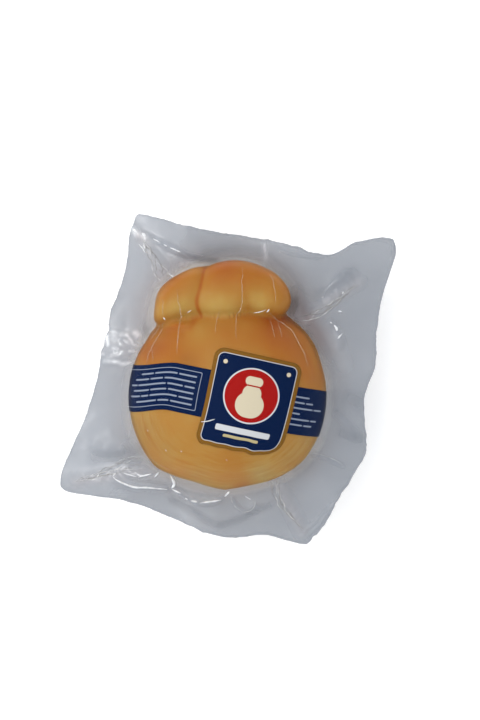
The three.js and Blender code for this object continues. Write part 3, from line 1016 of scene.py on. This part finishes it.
# %% [markdown]
# ## Laying things on a surface
# The label lies on the cheese and the pleats lie on the film. Each is first made flat, some way off, with an
# aim for every point. A Geometry Nodes tree then shoots every point along its aim at the surface and leaves
# it there, lifted by its own small amount. The nodes are built by one function and used for every piece.

# %% A tree that lays points on a surface
def node_group(name, kind, inputs, output):
    """A node tree with named inputs and one output, and the sockets to build it between."""
    tree = bpy.data.node_groups.new(name, kind)
    for label, socket in inputs:
        tree.interface.new_socket(label, in_out="INPUT", socket_type="NodeSocket" + socket)
    label, socket = output
    tree.interface.new_socket(label, in_out="OUTPUT", socket_type="NodeSocket" + socket)
    return tree, tree.nodes.new("NodeGroupInput").outputs, tree.nodes.new("NodeGroupOutput").inputs[label]


def stored(tree, name, kind="FLOAT"):
    """Values that the points of a piece carry into a Geometry Nodes tree."""
    return add(tree, "GeometryNodeInputNamedAttribute", data_type=kind, Name=name).outputs["Attribute"]


def laying_nodes(tree, given):
    """Nodes that move points along their aims onto the Surface input, and drop those that pass it by."""
    surface = add(tree, "GeometryNodeObjectInfo", transform_space="ORIGINAL")
    ray = add(tree, "GeometryNodeRaycast", Ray_Length=1.0)
    raised = add(tree, "ShaderNodeVectorMath", operation="SCALE")
    passed_by = add(tree, "FunctionNodeBooleanMath", operation="NOT")
    drop = add(tree, "GeometryNodeDeleteGeometry", domain="POINT")
    move = add(tree, "GeometryNodeSetPosition")
    hit, lifted = ray.outputs["Hit Position"], raised.outputs["Vector"]
    target = chain(tree, "ShaderNodeVectorMath", "ADD", hit, lifted)
    for value, socket in (
        (given["Surface"], surface.inputs["Object"]),
        (surface.outputs["Geometry"], ray.inputs["Target Geometry"]),
        (stored(tree, "aim", "FLOAT_VECTOR"), ray.inputs["Ray Direction"]),
        (ray.outputs["Hit Normal"], raised.inputs[0]),
        (stored(tree, "lift"), raised.inputs["Scale"]),
        (ray.outputs["Is Hit"], passed_by.inputs[0]),
        (given["Geometry"], drop.inputs["Geometry"]),
        (passed_by.outputs["Boolean"], drop.inputs["Selection"]),
        (drop.outputs["Geometry"], move.inputs["Geometry"]),
        (target, move.inputs["Position"]),
    ):
        tree.links.new(value, socket)
    return move.outputs["Geometry"]


def ending_nodes(tree, given, geometry, result):
    """Realize Instances and Set Material, which end every tree."""
    real = add(tree, "GeometryNodeRealizeInstances")
    dressed = add(tree, "GeometryNodeSetMaterial")
    tree.links.new(geometry, real.inputs["Geometry"])
    tree.links.new(real.outputs["Geometry"], dressed.inputs["Geometry"])
    tree.links.new(given["Material"], dressed.inputs["Material"])
    tree.links.new(dressed.outputs["Geometry"], result)


def apply_tree(piece, tree, values):
    """Runs a tree on a piece and keeps the result as a plain mesh."""
    modifier = piece.modifiers.new(tree.name, "NODES")
    modifier.node_group = tree
    for item in tree.interface.items_tree:
        if item.in_out == "INPUT" and item.name in values:
            modifier[item.identifier] = values[item.name]
    depsgraph = bpy.context.evaluated_depsgraph_get()
    mesh = bpy.data.meshes.new_from_object(piece.evaluated_get(depsgraph), depsgraph=depsgraph)
    piece.modifiers.clear()
    piece.data = mesh
    mesh.name = piece.name
    print(piece.name, len(mesh.vertices), "points after", tree.name)


SHAPE = ("Geometry", "Geometry")
SURFACE_INPUTS = (SHAPE, ("Surface", "Object"), ("Material", "Material"))
lay_flat, given, result = node_group("lay label on cheese", "GeometryNodeTree", SURFACE_INPUTS, SHAPE)
ending_nodes(lay_flat, given, laying_nodes(lay_flat, given), result)
print(lay_flat.name, "nodes:", len(lay_flat.nodes))

# %% [markdown]
# ## The label
# A printed paper band goes right round the body, and a badge with a gold edge is stuck over it.
# Both are thin closed slabs. Each point keeps its place on the flat print in millimetres,
# so the print stretches with the paper.

# %% Flat badge
BADGE_HALF, BADGE_CORNER, BADGE_TAPER, BADGE_LEAN = (18.2, 20.4), 4.2, 0.02, 1.2
BADGE_CENTRE, BADGE_TURN = (9.0, -2.6), math.radians(-12.4)
# The low edge is tucked in on its right and crinkled: where each begins, then waves and single crinkles
BADGE_TUCK, LOW_EDGE, TUCK_FROM = (1.4, 1.7), (0.55, 1), (0.3, 1)
CRINKLE_WAVE, CRINKLE_RATE, BADGE_CRINKLES = 0.12, 0.9, ((3.5, 1.8, 0.4), (7.5, 2.4, -0.35))
BADGE_LIFTS = (0.34, 0.58)
BADGE_RINGS, BADGE_POINTS = 40, 240
ABOVE = 60.0
CORNER_STEPS = 16


def rounded_outline(half, corner, count):
    """Points at even steps along a rectangle with round corners."""
    turns = np.linspace(0, math.pi / 2, CORNER_STEPS)
    points = []
    for quarter, (sx, sy) in enumerate(((1, 1), (-1, 1), (-1, -1), (1, -1))):
        turn = turns + quarter * math.pi / 2
        corner_x = sx * (half[0] - corner) + corner * np.cos(turn)
        corner_y = sy * (half[1] - corner) + corner * np.sin(turn)
        points.append(np.stack([corner_x, corner_y], 1))
    points = np.vstack(points + [points[0][:1]])
    run = np.concatenate([[0], np.cumsum(np.hypot(*np.diff(points, axis=0).T))])
    place = np.linspace(0, run[-1], count, endpoint=False)
    return np.stack([np.interp(place, run, points[:, 0]), np.interp(place, run, points[:, 1])], 1)


outline = rounded_outline(BADGE_HALF, BADGE_CORNER, BADGE_POINTS)
face_print = (np.linspace(0, 1, BADGE_RINGS + 1)[1:, None, None] * outline).reshape(-1, 2)
back_print = face_print.reshape(BADGE_RINGS, BADGE_POINTS, 2)[::-1].reshape(-1, 2)
badge_print = np.vstack([[(0, 0)], face_print, back_print, [(0, 0)]])
print_x, print_y = badge_print.T
low_edge = ease(-print_y / BADGE_HALF[1], *LOW_EDGE)
tucked = low_edge * ease(print_x / BADGE_HALF[0], *TUCK_FROM)
crinkled = CRINKLE_WAVE * np.sin(print_x * CRINKLE_RATE)
for x, reach, amount in BADGE_CRINKLES:
    crinkled += amount * bell(print_x - x, reach)
flat_x = print_x * (1 + BADGE_TAPER * print_y / BADGE_HALF[1])
flat_x = flat_x - BADGE_LEAN * np.maximum(-print_y / BADGE_HALF[1], 0) ** 2
flat_x = flat_x - BADGE_TUCK[0] * tucked
flat_y = print_y + low_edge * crinkled + BADGE_TUCK[1] * tucked
turned_x = BADGE_CENTRE[0] + flat_x * math.cos(BADGE_TURN) - flat_y * math.sin(BADGE_TURN)
turned_y = BADGE_CENTRE[1] + flat_x * math.sin(BADGE_TURN) + flat_y * math.cos(BADGE_TURN)
badge = plain_piece(
    "label_badge",
    np.stack([turned_x, turned_y, np.full(len(turned_x), ABOVE)], 1),
    globe_faces(2 * BADGE_RINGS, BADGE_POINTS),
)
half_count = 1 + BADGE_RINGS * BADGE_POINTS
lift = np.where(np.arange(len(badge_print)) < half_count, BADGE_LIFTS[1], BADGE_LIFTS[0])
point_values(badge, "lift", lift * MM)
vector_values(badge, "aim", np.tile((0, 0, -1.0), (len(badge_print), 1)))
vector_values(badge, "print_mm", np.column_stack([badge_print, np.zeros(len(badge_print))]))

# %% Flat band
BAND_WIDTH, BAND_TURN, BAND_SHIFT, BAND_AWAY = 20.0, math.radians(-11.2), -0.1, 25
BAND_LIFTS = (0.08, 0.26)
BAND_STEPS, BAND_ROWS = 400, 20
# The band runs lower on the left and a little higher on the right: how far, from where, and the share below
LEFT_DIP, RIGHT_RISE, LEFT_FROM, RIGHT_FROM, BELOW_SHARE = -4.9, 0.3, (0.6, 1.05), (0.75, 1), 0.86
BAND_RADIUS = 42.0

across = np.linspace(-BAND_WIDTH / 2, BAND_WIDTH / 2, BAND_ROWS)
row_print = np.concatenate([across, across[::-1]])
row_lift = np.repeat((BAND_LIFTS[1], BAND_LIFTS[0]), BAND_ROWS)
turn = np.linspace(0, 2 * math.pi, BAND_STEPS, endpoint=False)
to_right = np.cos(turn)
drift_on_top = LEFT_DIP * ease(-to_right, *LEFT_FROM) + RIGHT_RISE * ease(to_right, *RIGHT_FROM)
drift_below = (LEFT_DIP * ease(-to_right, -1, 1) + RIGHT_RISE * ease(to_right, -1, 1)) * BELOW_SHARE
drift = np.where(np.sin(turn) >= 0, drift_on_top, drift_below)
along_axis = np.array((-math.sin(BAND_TURN), math.cos(BAND_TURN), 0))
sideways = np.array((math.cos(BAND_TURN), math.sin(BAND_TURN), 0))
out = to_right[:, None] * sideways + np.sin(turn)[:, None] * np.array((0, 0, 1.0))
band_points = (
    out[:, None, :] * (BODY_HALF[0] + BAND_AWAY)
    + (BAND_SHIFT + drift[:, None, None] + row_print[None, :, None]) * along_axis
)
loop = 2 * BAND_ROWS
band_faces = []
for step in range(BAND_STEPS):
    here, ahead = step * loop, (step + 1) % BAND_STEPS * loop
    for row in range(loop):
        beside = (row + 1) % loop
        band_faces.append((here + row, ahead + row, ahead + beside, here + beside))
band = plain_piece("label_band", band_points.reshape(-1, 3), band_faces)
point_values(band, "lift", np.tile(row_lift, BAND_STEPS) * MM)
vector_values(band, "aim", np.repeat(-out, loop, axis=0))
signed_turn = np.where(turn > 1.5 * math.pi, turn - 2 * math.pi, turn) - math.pi / 2
run = np.repeat(-signed_turn * BAND_RADIUS, loop)
vector_values(band, "print_mm", np.column_stack([run, np.tile(row_print, BAND_STEPS), np.zeros(len(run))]))

# %% [markdown]
# ## The print
# Fields of flat colour with crisp edges. All of them are rectangles with rounder or less round corners, down
# to the circle, so one shader group makes a mask for such a panel. A second one makes the faint crinkle of
# the paper. The badge and the band both use them.

# %% Shader groups for printed paper
PANEL_SOFTNESS = 0.12
PLACE, FLAT = ("Place", "Vector"), (1, 1, 0)
PANEL_INPUTS = (
    PLACE,
    ("Centre", "Vector"),
    ("Half Size", "Vector"),
    ("Corner", "Float"),
    ("Softness", "Float"),
)

panel_group, given, result = node_group("printed panel", "ShaderNodeTree", PANEL_INPUTS, ("Mask", "Float"))


def vectors(operation, *inputs):
    """A Vector Math node of the panel group."""
    return chain(panel_group, "ShaderNodeVectorMath", operation, *inputs)


def numbers(operation, *inputs, **settings):
    """A Math node of the panel group."""
    return chain(panel_group, "ShaderNodeMath", operation, *inputs, **settings)


from_centre = vectors("MULTIPLY", vectors("SUBTRACT", given["Place"], given["Centre"]), FLAT)
from_centre = vectors("ABSOLUTE", from_centre)
past_side = vectors("SUBTRACT", from_centre, vectors("SUBTRACT", given["Half Size"], given["Corner"]))
past_corner = vectors("LENGTH", vectors("MULTIPLY", vectors("MAXIMUM", past_side, (0, 0, 0)), FLAT))
split = add(panel_group, "ShaderNodeSeparateXYZ")
panel_group.links.new(past_side, split.inputs[0])
inner = numbers("MINIMUM", numbers("MAXIMUM", split.outputs["X"], split.outputs["Y"]), 0)
outside = numbers("SUBTRACT", numbers("ADD", past_corner, inner), given["Corner"])
softened = numbers("DIVIDE", outside, given["Softness"])
panel_group.links.new(numbers("SUBTRACT", 0.5, softened, use_clamp=True), result)

crinkle_group, given, result = node_group("paper crinkle", "ShaderNodeTree", (PLACE,), ("Height", "Float"))
crinkle_group.links.new(noise(crinkle_group, given["Place"], Scale=260, Detail=3), result)
print(panel_group.name, "nodes:", len(panel_group.nodes))


def placed(tree, group, place, **values):
    """A shader group in a material's tree, fed with a place; returns what it puts out."""
    node = add(tree, "ShaderNodeGroup", node_tree=group, **values)
    tree.links.new(place, node.inputs["Place"])
    return node.outputs[0]


def paint(tree, place, below, centre, half, corner, ink):
    """A panel of ink over the colour below it."""
    values = {"Centre": (*centre, 0), "Half_Size": (*half, 0), "Corner": corner, "Softness": PANEL_SOFTNESS}
    return mixed(tree, below, placed(tree, panel_group, place, **values), ink)


# %% Inks and the badge's print
NAVY, GOLD = (0.001, 0.01, 0.05, 1), (0.21, 0.097, 0.014, 1)
WHITE, RED = (0.62, 0.63, 0.64, 1), (0.36, 0.008, 0.006, 1)
CREAM, PALE_GOLD = (0.66, 0.58, 0.42, 1), (0.50, 0.42, 0.22, 1)
w, h = BADGE_HALF
# Panels over the gold from the lowest up: centre, half size, corner and ink
BADGE_PANELS = (
    ((0, 0), (w - 1.7, h - 1.7), BADGE_CORNER - 1.5, WHITE),
    ((0, 0), (w - 1.98, h - 1.98), BADGE_CORNER - 1.75, NAVY),
    ((0, 3.2), (11.6, 11.6), 11.6, WHITE),
    ((0, 3.2), (11.0, 11.0), 11.0, RED),
    ((0, -0.6), (5.9, 5.3), 5.2, CREAM),
    ((0, 3.2), (3.9, 4.6), 3.6, CREAM),
    ((0, 9.3), (3.6, 1.9), 1.8, CREAM),
    ((0, 7.4), (2.6, 0.3), 0.25, RED),
    ((0, -11.9), (11.5, 1.25), 0.6, WHITE),
    ((0, -14.9), (7.5, 0.6), 0.5, PALE_GOLD),
    ((-13.2, 15.0), (0.9, 0.9), 0.9, CREAM),
    ((13.2, 15.0), (0.9, 0.9), 0.9, CREAM),
)


def paper(name):
    """Smooth printed paper with a faint crinkle: its material, shader, tree and the print's place."""
    material, shader = principled(name, Roughness=0.45, Specular_IOR_Level=0.02)
    tree = material.node_tree
    spot = add(tree, "ShaderNodeTexCoord").outputs["Object"]
    bumped(tree, placed(tree, crinkle_group, spot), shader, 0.25, 0.0003)
    return material, shader, tree, attribute(tree, "print_mm", "Vector")


badge_paper, badge_shader, tree, place = paper("badge_print")
colour = GOLD
for centre, half, corner, ink in BADGE_PANELS:
    colour = paint(tree, place, colour, centre, half, corner, ink)
tree.links.new(colour, badge_shader.inputs["Base Color"])
apply_tree(badge, lay_flat, {"Surface": cheese, "Material": badge_paper})

# %% The band's print
BAND_LINE, BAND_MARGIN, FRAME_CORNERS = 0.28, 1.9, (0.8, 0.6)
LEFT_PANEL, RIGHT_PANEL = (-43.0, 29.0), (47.0, 18.0)
ROW_STEP, ROW_HALF, BAR_GAP, ROW_INDENT, MIDDLE_ROW, BAR_ROUNDING = 2.35, 0.34, 0.9, 2.2, 2.5, 0.9
# Lengths of the plain bars in each row, from the lowest row up
LEFT_ROWS = ((11, 6, 14), (7, 15, 5, 9), (13, 9, 12), (5, 8, 17, 6), (16, 7, 10), (9, 12, 8))
RIGHT_ROWS = ((9, 6), (13, 5), (6,), (14, 7), (8, 5), (11,))
LINE_BLUE, BAR_BLUE = (0.3, 0.34, 0.42, 1), (0.26, 0.3, 0.38, 1)

band_paper, band_shader, tree, place = paper("band_print")
colour = NAVY
for inwards, corner, ink in zip((0, BAND_LINE), FRAME_CORNERS, (LINE_BLUE, NAVY)):
    half = (LEFT_PANEL[1] - inwards, BAND_WIDTH / 2 - BAND_MARGIN - inwards)
    colour = paint(tree, place, colour, (LEFT_PANEL[0], 0), half, corner, ink)
for (centre, half), rows, side in ((LEFT_PANEL, LEFT_ROWS, -1), (RIGHT_PANEL, RIGHT_ROWS, 1)):
    for number, lengths in enumerate(rows):
        end = centre - side * (half - ROW_INDENT)
        for length in lengths:
            middle = (end + side * length / 2, (number - MIDDLE_ROW) * ROW_STEP)
            bar_half = (length / 2, ROW_HALF)
            colour = paint(tree, place, colour, middle, bar_half, ROW_HALF * BAR_ROUNDING, BAR_BLUE)
            end += side * (length + BAR_GAP)
tree.links.new(colour, band_shader.inputs["Base Color"])
apply_tree(band, lay_flat, {"Surface": cheese, "Material": band_paper})

# %% [markdown]
# ## Pleats and gathered strands
# Where shrunk film has more width than the cheese needs, it stands up in hair-thin pleats, and towards each
# corner of the bag it is gathered into twisted strands. Both follow lines on the film, so they are curves: a
# Geometry Nodes tree lays each line on the film and gives it a round thread whose thickness tapers to its
# ends. A shader group makes the doubled film clearer in some spots, with its own limits for each kind.

# %% A tree that makes threads on the film
thread_tree, given, result = node_group("threads on film", "GeometryNodeTree", SURFACE_INPUTS, SHAPE)
link = thread_tree.links.new
as_curve = add(thread_tree, "GeometryNodeMeshToCurve")
ring = add(thread_tree, "GeometryNodeCurvePrimitiveCircle", mode="RADIUS", Resolution=6, Radius=1.0)
tube = add(thread_tree, "GeometryNodeCurveToMesh", Fill_Caps=True)
link(laying_nodes(thread_tree, given), as_curve.inputs["Mesh"])
link(as_curve.outputs["Curve"], tube.inputs["Curve"])
link(stored(thread_tree, "thickness"), tube.inputs["Scale"])
link(ring.outputs["Curve"], tube.inputs["Profile Curve"])
ending_nodes(thread_tree, given, tube.outputs["Mesh"], result)
print(thread_tree.name, "nodes:", len(thread_tree.nodes))

EYE = np.array(camera.location) / MM - (0, 0, MIDDLE_HEIGHT)
THREAD_END, THREAD_TAPER = 0.02, 0.6


def threads(name, lines, material):
    """One piece of many threads. Each line is points as the camera sees them, thickness, lifts and tones."""
    seen, edges, thick, lifts, tones = [], [], [], [], []
    for line, radius, lift, tone in lines:
        first, count = len(seen), len(line)
        share = np.clip(np.linspace(0, 1, count), THREAD_END, 1 - THREAD_END)
        seen += [(*p, 0) for p in line]
        edges += [(first + i, first + i + 1) for i in range(count - 1)]
        thick += list(radius * np.sin(math.pi * share) ** THREAD_TAPER)
        lifts += list(np.broadcast_to(lift, count))
        tones += list(np.broadcast_to(tone, count))
    aims = np.array(seen) - EYE
    starts = EYE + aims * (EYE[2] - ABOVE) / EYE[2]
    mesh = bpy.data.meshes.new(name)
    mesh.from_pydata(((starts + (0, 0, MIDDLE_HEIGHT)) * MM).tolist(), edges, [])
    piece = put_in_scene(name, mesh)
    point_values(piece, "thickness", np.array(thick) * MM)
    point_values(piece, "lift", np.array(lifts) * MM)
    point_values(piece, "tone", tones)
    vector_values(piece, "aim", aims / np.linalg.norm(aims, axis=1)[:, None])
    apply_tree(piece, thread_tree, {"Surface": film, "Material": material})
    piece.data.shade_smooth()
    return piece


# %% Material of the threads
PATCHY_INPUTS = (PLACE, ("Least", "Float"), ("Most", "Float"))
patchy_group, given, result = node_group("patchy film", "ShaderNodeTree", PATCHY_INPUTS, ("Alpha", "Float"))
clear = add(patchy_group, "ShaderNodeMapRange", From_Min=0.35, From_Max=0.65)
patches = noise(patchy_group, given["Place"], Scale=420, Detail=2)
for value, name in ((patches, "Value"), (given["Least"], "To Min"), (given["Most"], "To Max")):
    patchy_group.links.new(value, clear.inputs[name])
patchy_group.links.new(clear.outputs["Result"], result)
print(patchy_group.name, "nodes:", len(patchy_group.nodes))


def thread_material(name, dark, light, alpha, least):
    """Doubled film, glossy and half clear, between two colours. At least this share of alpha stays."""
    material, shader = principled(name, Roughness=0.12)
    tree = material.node_tree
    place = add(tree, "ShaderNodeTexCoord").outputs["Object"]
    patchy = placed(tree, patchy_group, place, Least=alpha * least, Most=alpha)
    tree.links.new(patchy, shader.inputs["Alpha"])
    colours = ramp(tree, attribute(tree, "tone"), ((0.0, *dark), (1.0, *light)))
    tree.links.new(colours, shader.inputs["Base Color"])
    return material


# %% Pleats over the cheese
# Points of each pleat and its radius
PLEATS = (
    (
        ((6.2, 56), (6.5, 52.6), (5.8, 49.8), (6.2, 44.2), (5.4, 37.8), (3.7, 35), (3.4, 28.6), (3.6, 24)),
        0.26,
    ),
    (((18.2, 52.8), (19.3, 50.6), (20.1, 47), (20.7, 44.2), (20.4, 40)), 0.22),
    (((17.1, 37.5), (21.5, 33), (27.4, 28.6), (32.8, 19.3), (34.6, 13)), 0.28),
    (((17.9, 34.4), (19.6, 28.6), (20.3, 25)), 0.16),
    (((21.5, 33), (22.6, 28.6), (23.4, 25.5)), 0.18),
    (((-22.7, 46.3), (-21.6, 40), (-20.6, 35), (-21, 31.5), (-22.3, 24), (-22.5, 18.3)), 0.32),
    (((-28.6, 42), (-28.6, 38), (-28.3, 34.5)), 0.16),
    (((-3.7, 38.1), (-5.2, 32.3), (-5.8, 27)), 0.15),
    (((-28, 32.7), (-29.6, 27.5), (-32.7, 22.2), (-34.5, 18.6), (-35.6, 13.9)), 0.3),
    (((-29.3, 31.3), (-31.6, 27.8), (-33.8, 24.4)), 0.18),
    (((-33.1, 20.4), (-32.9, 17.5), (-32.6, 14.8)), 0.14),
    (((-35.1, -26.5), (-32.3, -28.8), (-28.7, -30.7), (-24.1, -33.4)), 0.14),
    (((27.6, -33.3), (30.1, -30.4), (35.1, -26.2)), 0.13),
    (((18.8, -35.8), (23.4, -33.7), (27.4, -32.8)), 0.12),
)
PLEAT_STEPS, PLEAT_WOBBLE, WOBBLE_SIZE, WOBBLE_SEED, PLEAT_LIFT = 60, 0.3, 5, 31, 0.03

rng = np.random.default_rng(4)
pleat_lines = []
for points, radius in PLEATS:
    line = smooth_curve(points, PLEAT_STEPS)
    along, row = np.arange(PLEAT_STEPS) * 1.0, np.full(PLEAT_STEPS, rng.uniform(0, 40))
    wobble = hills(along, row, WOBBLE_SIZE, WOBBLE_SEED)
    line[:, 0] += PLEAT_WOBBLE * wobble
    pleat_lines.append((line, radius, PLEAT_LIFT, 0.5 + 0.5 * wobble))
pleat_film = thread_material("pleated_film", (0.5, 0.36, 0.22), (0.68, 0.57, 0.44), 0.3, 0.35)
pleats = threads("film_pleats", pleat_lines, pleat_film)

# %% Strands towards the corners
STRANDS_EACH, STRAND_TURNS, STRAND_RADIUS, STRAND_WOBBLE = 5, 1.5, 0.26, 0.5
# Middle line of each gather from the cheese outwards, and half of its width where it starts
GATHER_LINES = (
    (((31, 31.5), (36.5, 34.2), (42, 37.4), (47.5, 41.5), (51.3, 45), (56.5, 48.4)), 2.6),
    (((-26.6, 49.2), (-30, 54.5), (-32.6, 59.5), (-35, 64), (-37.2, 68.5)), 3.4),
    (((-37, -29), (-43, -29.8), (-49.5, -31.8), (-57, -34.8), (-62, -36.2), (-67, -37.3)), 3.2),
    (((20.5, -36), (20.9, -42.3), (23.4, -48.1), (26.3, -51.4), (32.2, -58.1)), 2.0),
)
STRAND_STEPS = 90
strand_lines = []
for number, (points, root_half) in enumerate(GATHER_LINES):
    line = smooth_curve(points, STRAND_STEPS)
    ahead = np.gradient(line, axis=0)
    beside = np.stack([-ahead[:, 1], ahead[:, 0]], 1) / np.hypot(*ahead.T)[:, None]
    share = np.linspace(0, 1, STRAND_STEPS)
    half_width = root_half * (0.2 + 0.8 * (1 - share) ** 1.6) * (1 - 0.7 * ease(share, 0.75, 1))
    for strand in range(STRANDS_EACH):
        phase = math.pi * (2 * strand / STRANDS_EACH + STRAND_TURNS * share) + number
        row = np.full(STRAND_STEPS, 9.0 * strand + 31 * number)
        wobble = STRAND_WOBBLE * hills(share * 40, row, 2.5, 47)
        offset = half_width * np.cos(phase) + wobble
        rise = 0.12 + 0.2 * np.sin(phase)
        radius = STRAND_RADIUS * (1 - 0.12 * strand)
        strand_lines.append((line + beside * offset[:, None], radius, rise, strand % 2 + 0.3 * wobble))
# Faint rims of the pockets of air: points and radius
POCKET_RIMS = (
    (((-58, -33.4), (-51.2, -31.1), (-47.9, -28.6), (-42.9, -26.8), (-36, -26.1)), 0.16),
    (((0.8, -42.6), (2.2, -47.4), (6.4, -50.6), (10.6, -49.4), (12.6, -44.4)), 0.16),
    (((36.8, -25), (41.2, -26), (47.6, -28.6), (50.4, -31.4)), 0.14),
)
for points, radius in POCKET_RIMS:
    strand_lines.append((smooth_curve(points, STRAND_STEPS), radius, 0.05, 0.8))
strand_film = thread_material("gathered_film", (0.4, 0.39, 0.37), (0.84, 0.84, 0.83), 0.52, 0.35)
strands = threads("film_strands", strand_lines, strand_film)

# %% [markdown]
# ## Creases with painted glints
# Where the film was drawn tight over a pocket of air it broke into short sharp creases. They are threads as
# well, short ones along the rims of the pockets and at the gathers, painted near white as a glint that stays
# in any light; a sharp crease does turn clear film milky, so part of that white is the film's own.

# %% Creases with painted glints
# Points of each crease and its radius
PAINTED_GLINT_CREASES = (
    (((-50.4, -35.3), (-48.1, -37.2), (-41.3, -39.8), (-35.6, -40.1), (-26.7, -40.9)), 0.42),
    (((-45.8, -33.8), (-40, -35.4)), 0.24),
    (((-39.3, -35.5), (-33.6, -34.1)), 0.26),
    (((-32.2, -35.5), (-30.4, -33.5)), 0.36),
    (((-25.3, -34.7), (-23.6, -38.1), (-24.7, -40.4)), 0.6),
    (((-24.7, -40.7), (-20.7, -42.6)), 0.34),
    (((-18.8, -44.6), (-17.6, -45.4)), 0.3),
    (((-16.4, -45.8), (-13.6, -46.4)), 0.36),
    (((-12.4, -46.8), (-7, -46.1), (-3.1, -45.5)), 0.36),
    (((-1.6, -44), (0.4, -41.8)), 0.48),
    (((7.2, -43.8), (10, -45.5)), 0.18),
    (((-57.4, -35.6), (-56.4, -34.3)), 0.2),
    (((-50.2, -34.9), (-49, -33.6)), 0.26),
    (((44.4, 32.1), (45.4, 31.6)), 0.26),
    (((46.1, 30.9), (47.2, 29.4), (47.4, 28.2)), 0.55),
    (((49.6, 27), (48.6, 25.9), (47.8, 24.9)), 0.4),
    (((48, 36.9), (49.6, 36.7)), 0.34),
    (((49.6, 44.6), (50.4, 45.4)), 0.32),
    (((-41.6, 72.8), (-39.9, 71.2)), 0.55),
    (((-37.8, 70.9), (-36.8, 70.2), (-36.2, 69.2)), 0.55),
    (((-32.9, 68.5), (-30.2, 67.2)), 0.22),
    (((-28.2, 66), (-26.8, 65.2)), 0.32),
    (((-25.4, 64.6), (-20.9, 62.7)), 0.28),
    (((-39.1, 66.2), (-37.5, 64.5), (-36.3, 62.4)), 0.2),
    (((-25.9, 53.3), (-23.9, 51.8)), 0.24),
    (((-28.4, 34.2), (-27.5, 33.1)), 0.26),
    (((-17.9, 36.2), (-16.1, 37.3)), 0.16),
    (((11, 36.1), (14, 36.6), (16.5, 37.5)), 0.15),
    (((16.8, 36.4), (17.9, 37.8)), 0.24),
    (((-12, -11.4), (-9, -11.1), (-5.8, -10.2)), 0.2),
    (((-27.5, -23.6), (-26.9, -24.1)), 0.1),
    (((-20.8, -24), (-20.2, -24.5)), 0.1),
    (((-35.4, -15), (-35, -15.5)), 0.09),
    (((-1, -27.9), (-0.5, -28.2)), 0.09),
)
CREASE_STEPS, CREASE_LIFT, CREASE_SWELL = 24, 0.04, 1.15
CREASE_UNEVEN, CREASE_SIZE, CREASE_SEED = 0.3, 1.2, 12

glint_crease_lines = []
for points, radius in PAINTED_GLINT_CREASES:
    line = smooth_curve(points, CREASE_STEPS)
    uneven = 1 + CREASE_UNEVEN * hills(*line.T, CREASE_SIZE, CREASE_SEED)
    glint_crease_lines.append((line, CREASE_SWELL * radius * uneven, CREASE_LIFT, uneven - 0.5))
# Near-white, nearly opaque film: a painted glint, partly the milkiness of a sharp crease
glint_crease_film = thread_material("creased_film", (0.86, 0.88, 0.92), (1, 1, 1), 0.98, 0.75)
glint_creases = threads("film_creases", glint_crease_lines, glint_crease_film)

# %% [markdown]
# ## Riding on the part
# Every piece rides on the one body of the part.
# The film stands for the imported solid, so that solid is hidden.

# %% Ride and replace
for piece, slot in (
    (film, "film"),
    (cheese, "cheese"),
    (badge, "label"),
    (band, "label"),
    (pleats, "film"),
    (strands, "film"),
    (glint_creases, "film"),
):
    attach(piece, "root")
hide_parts("sealed_bag")
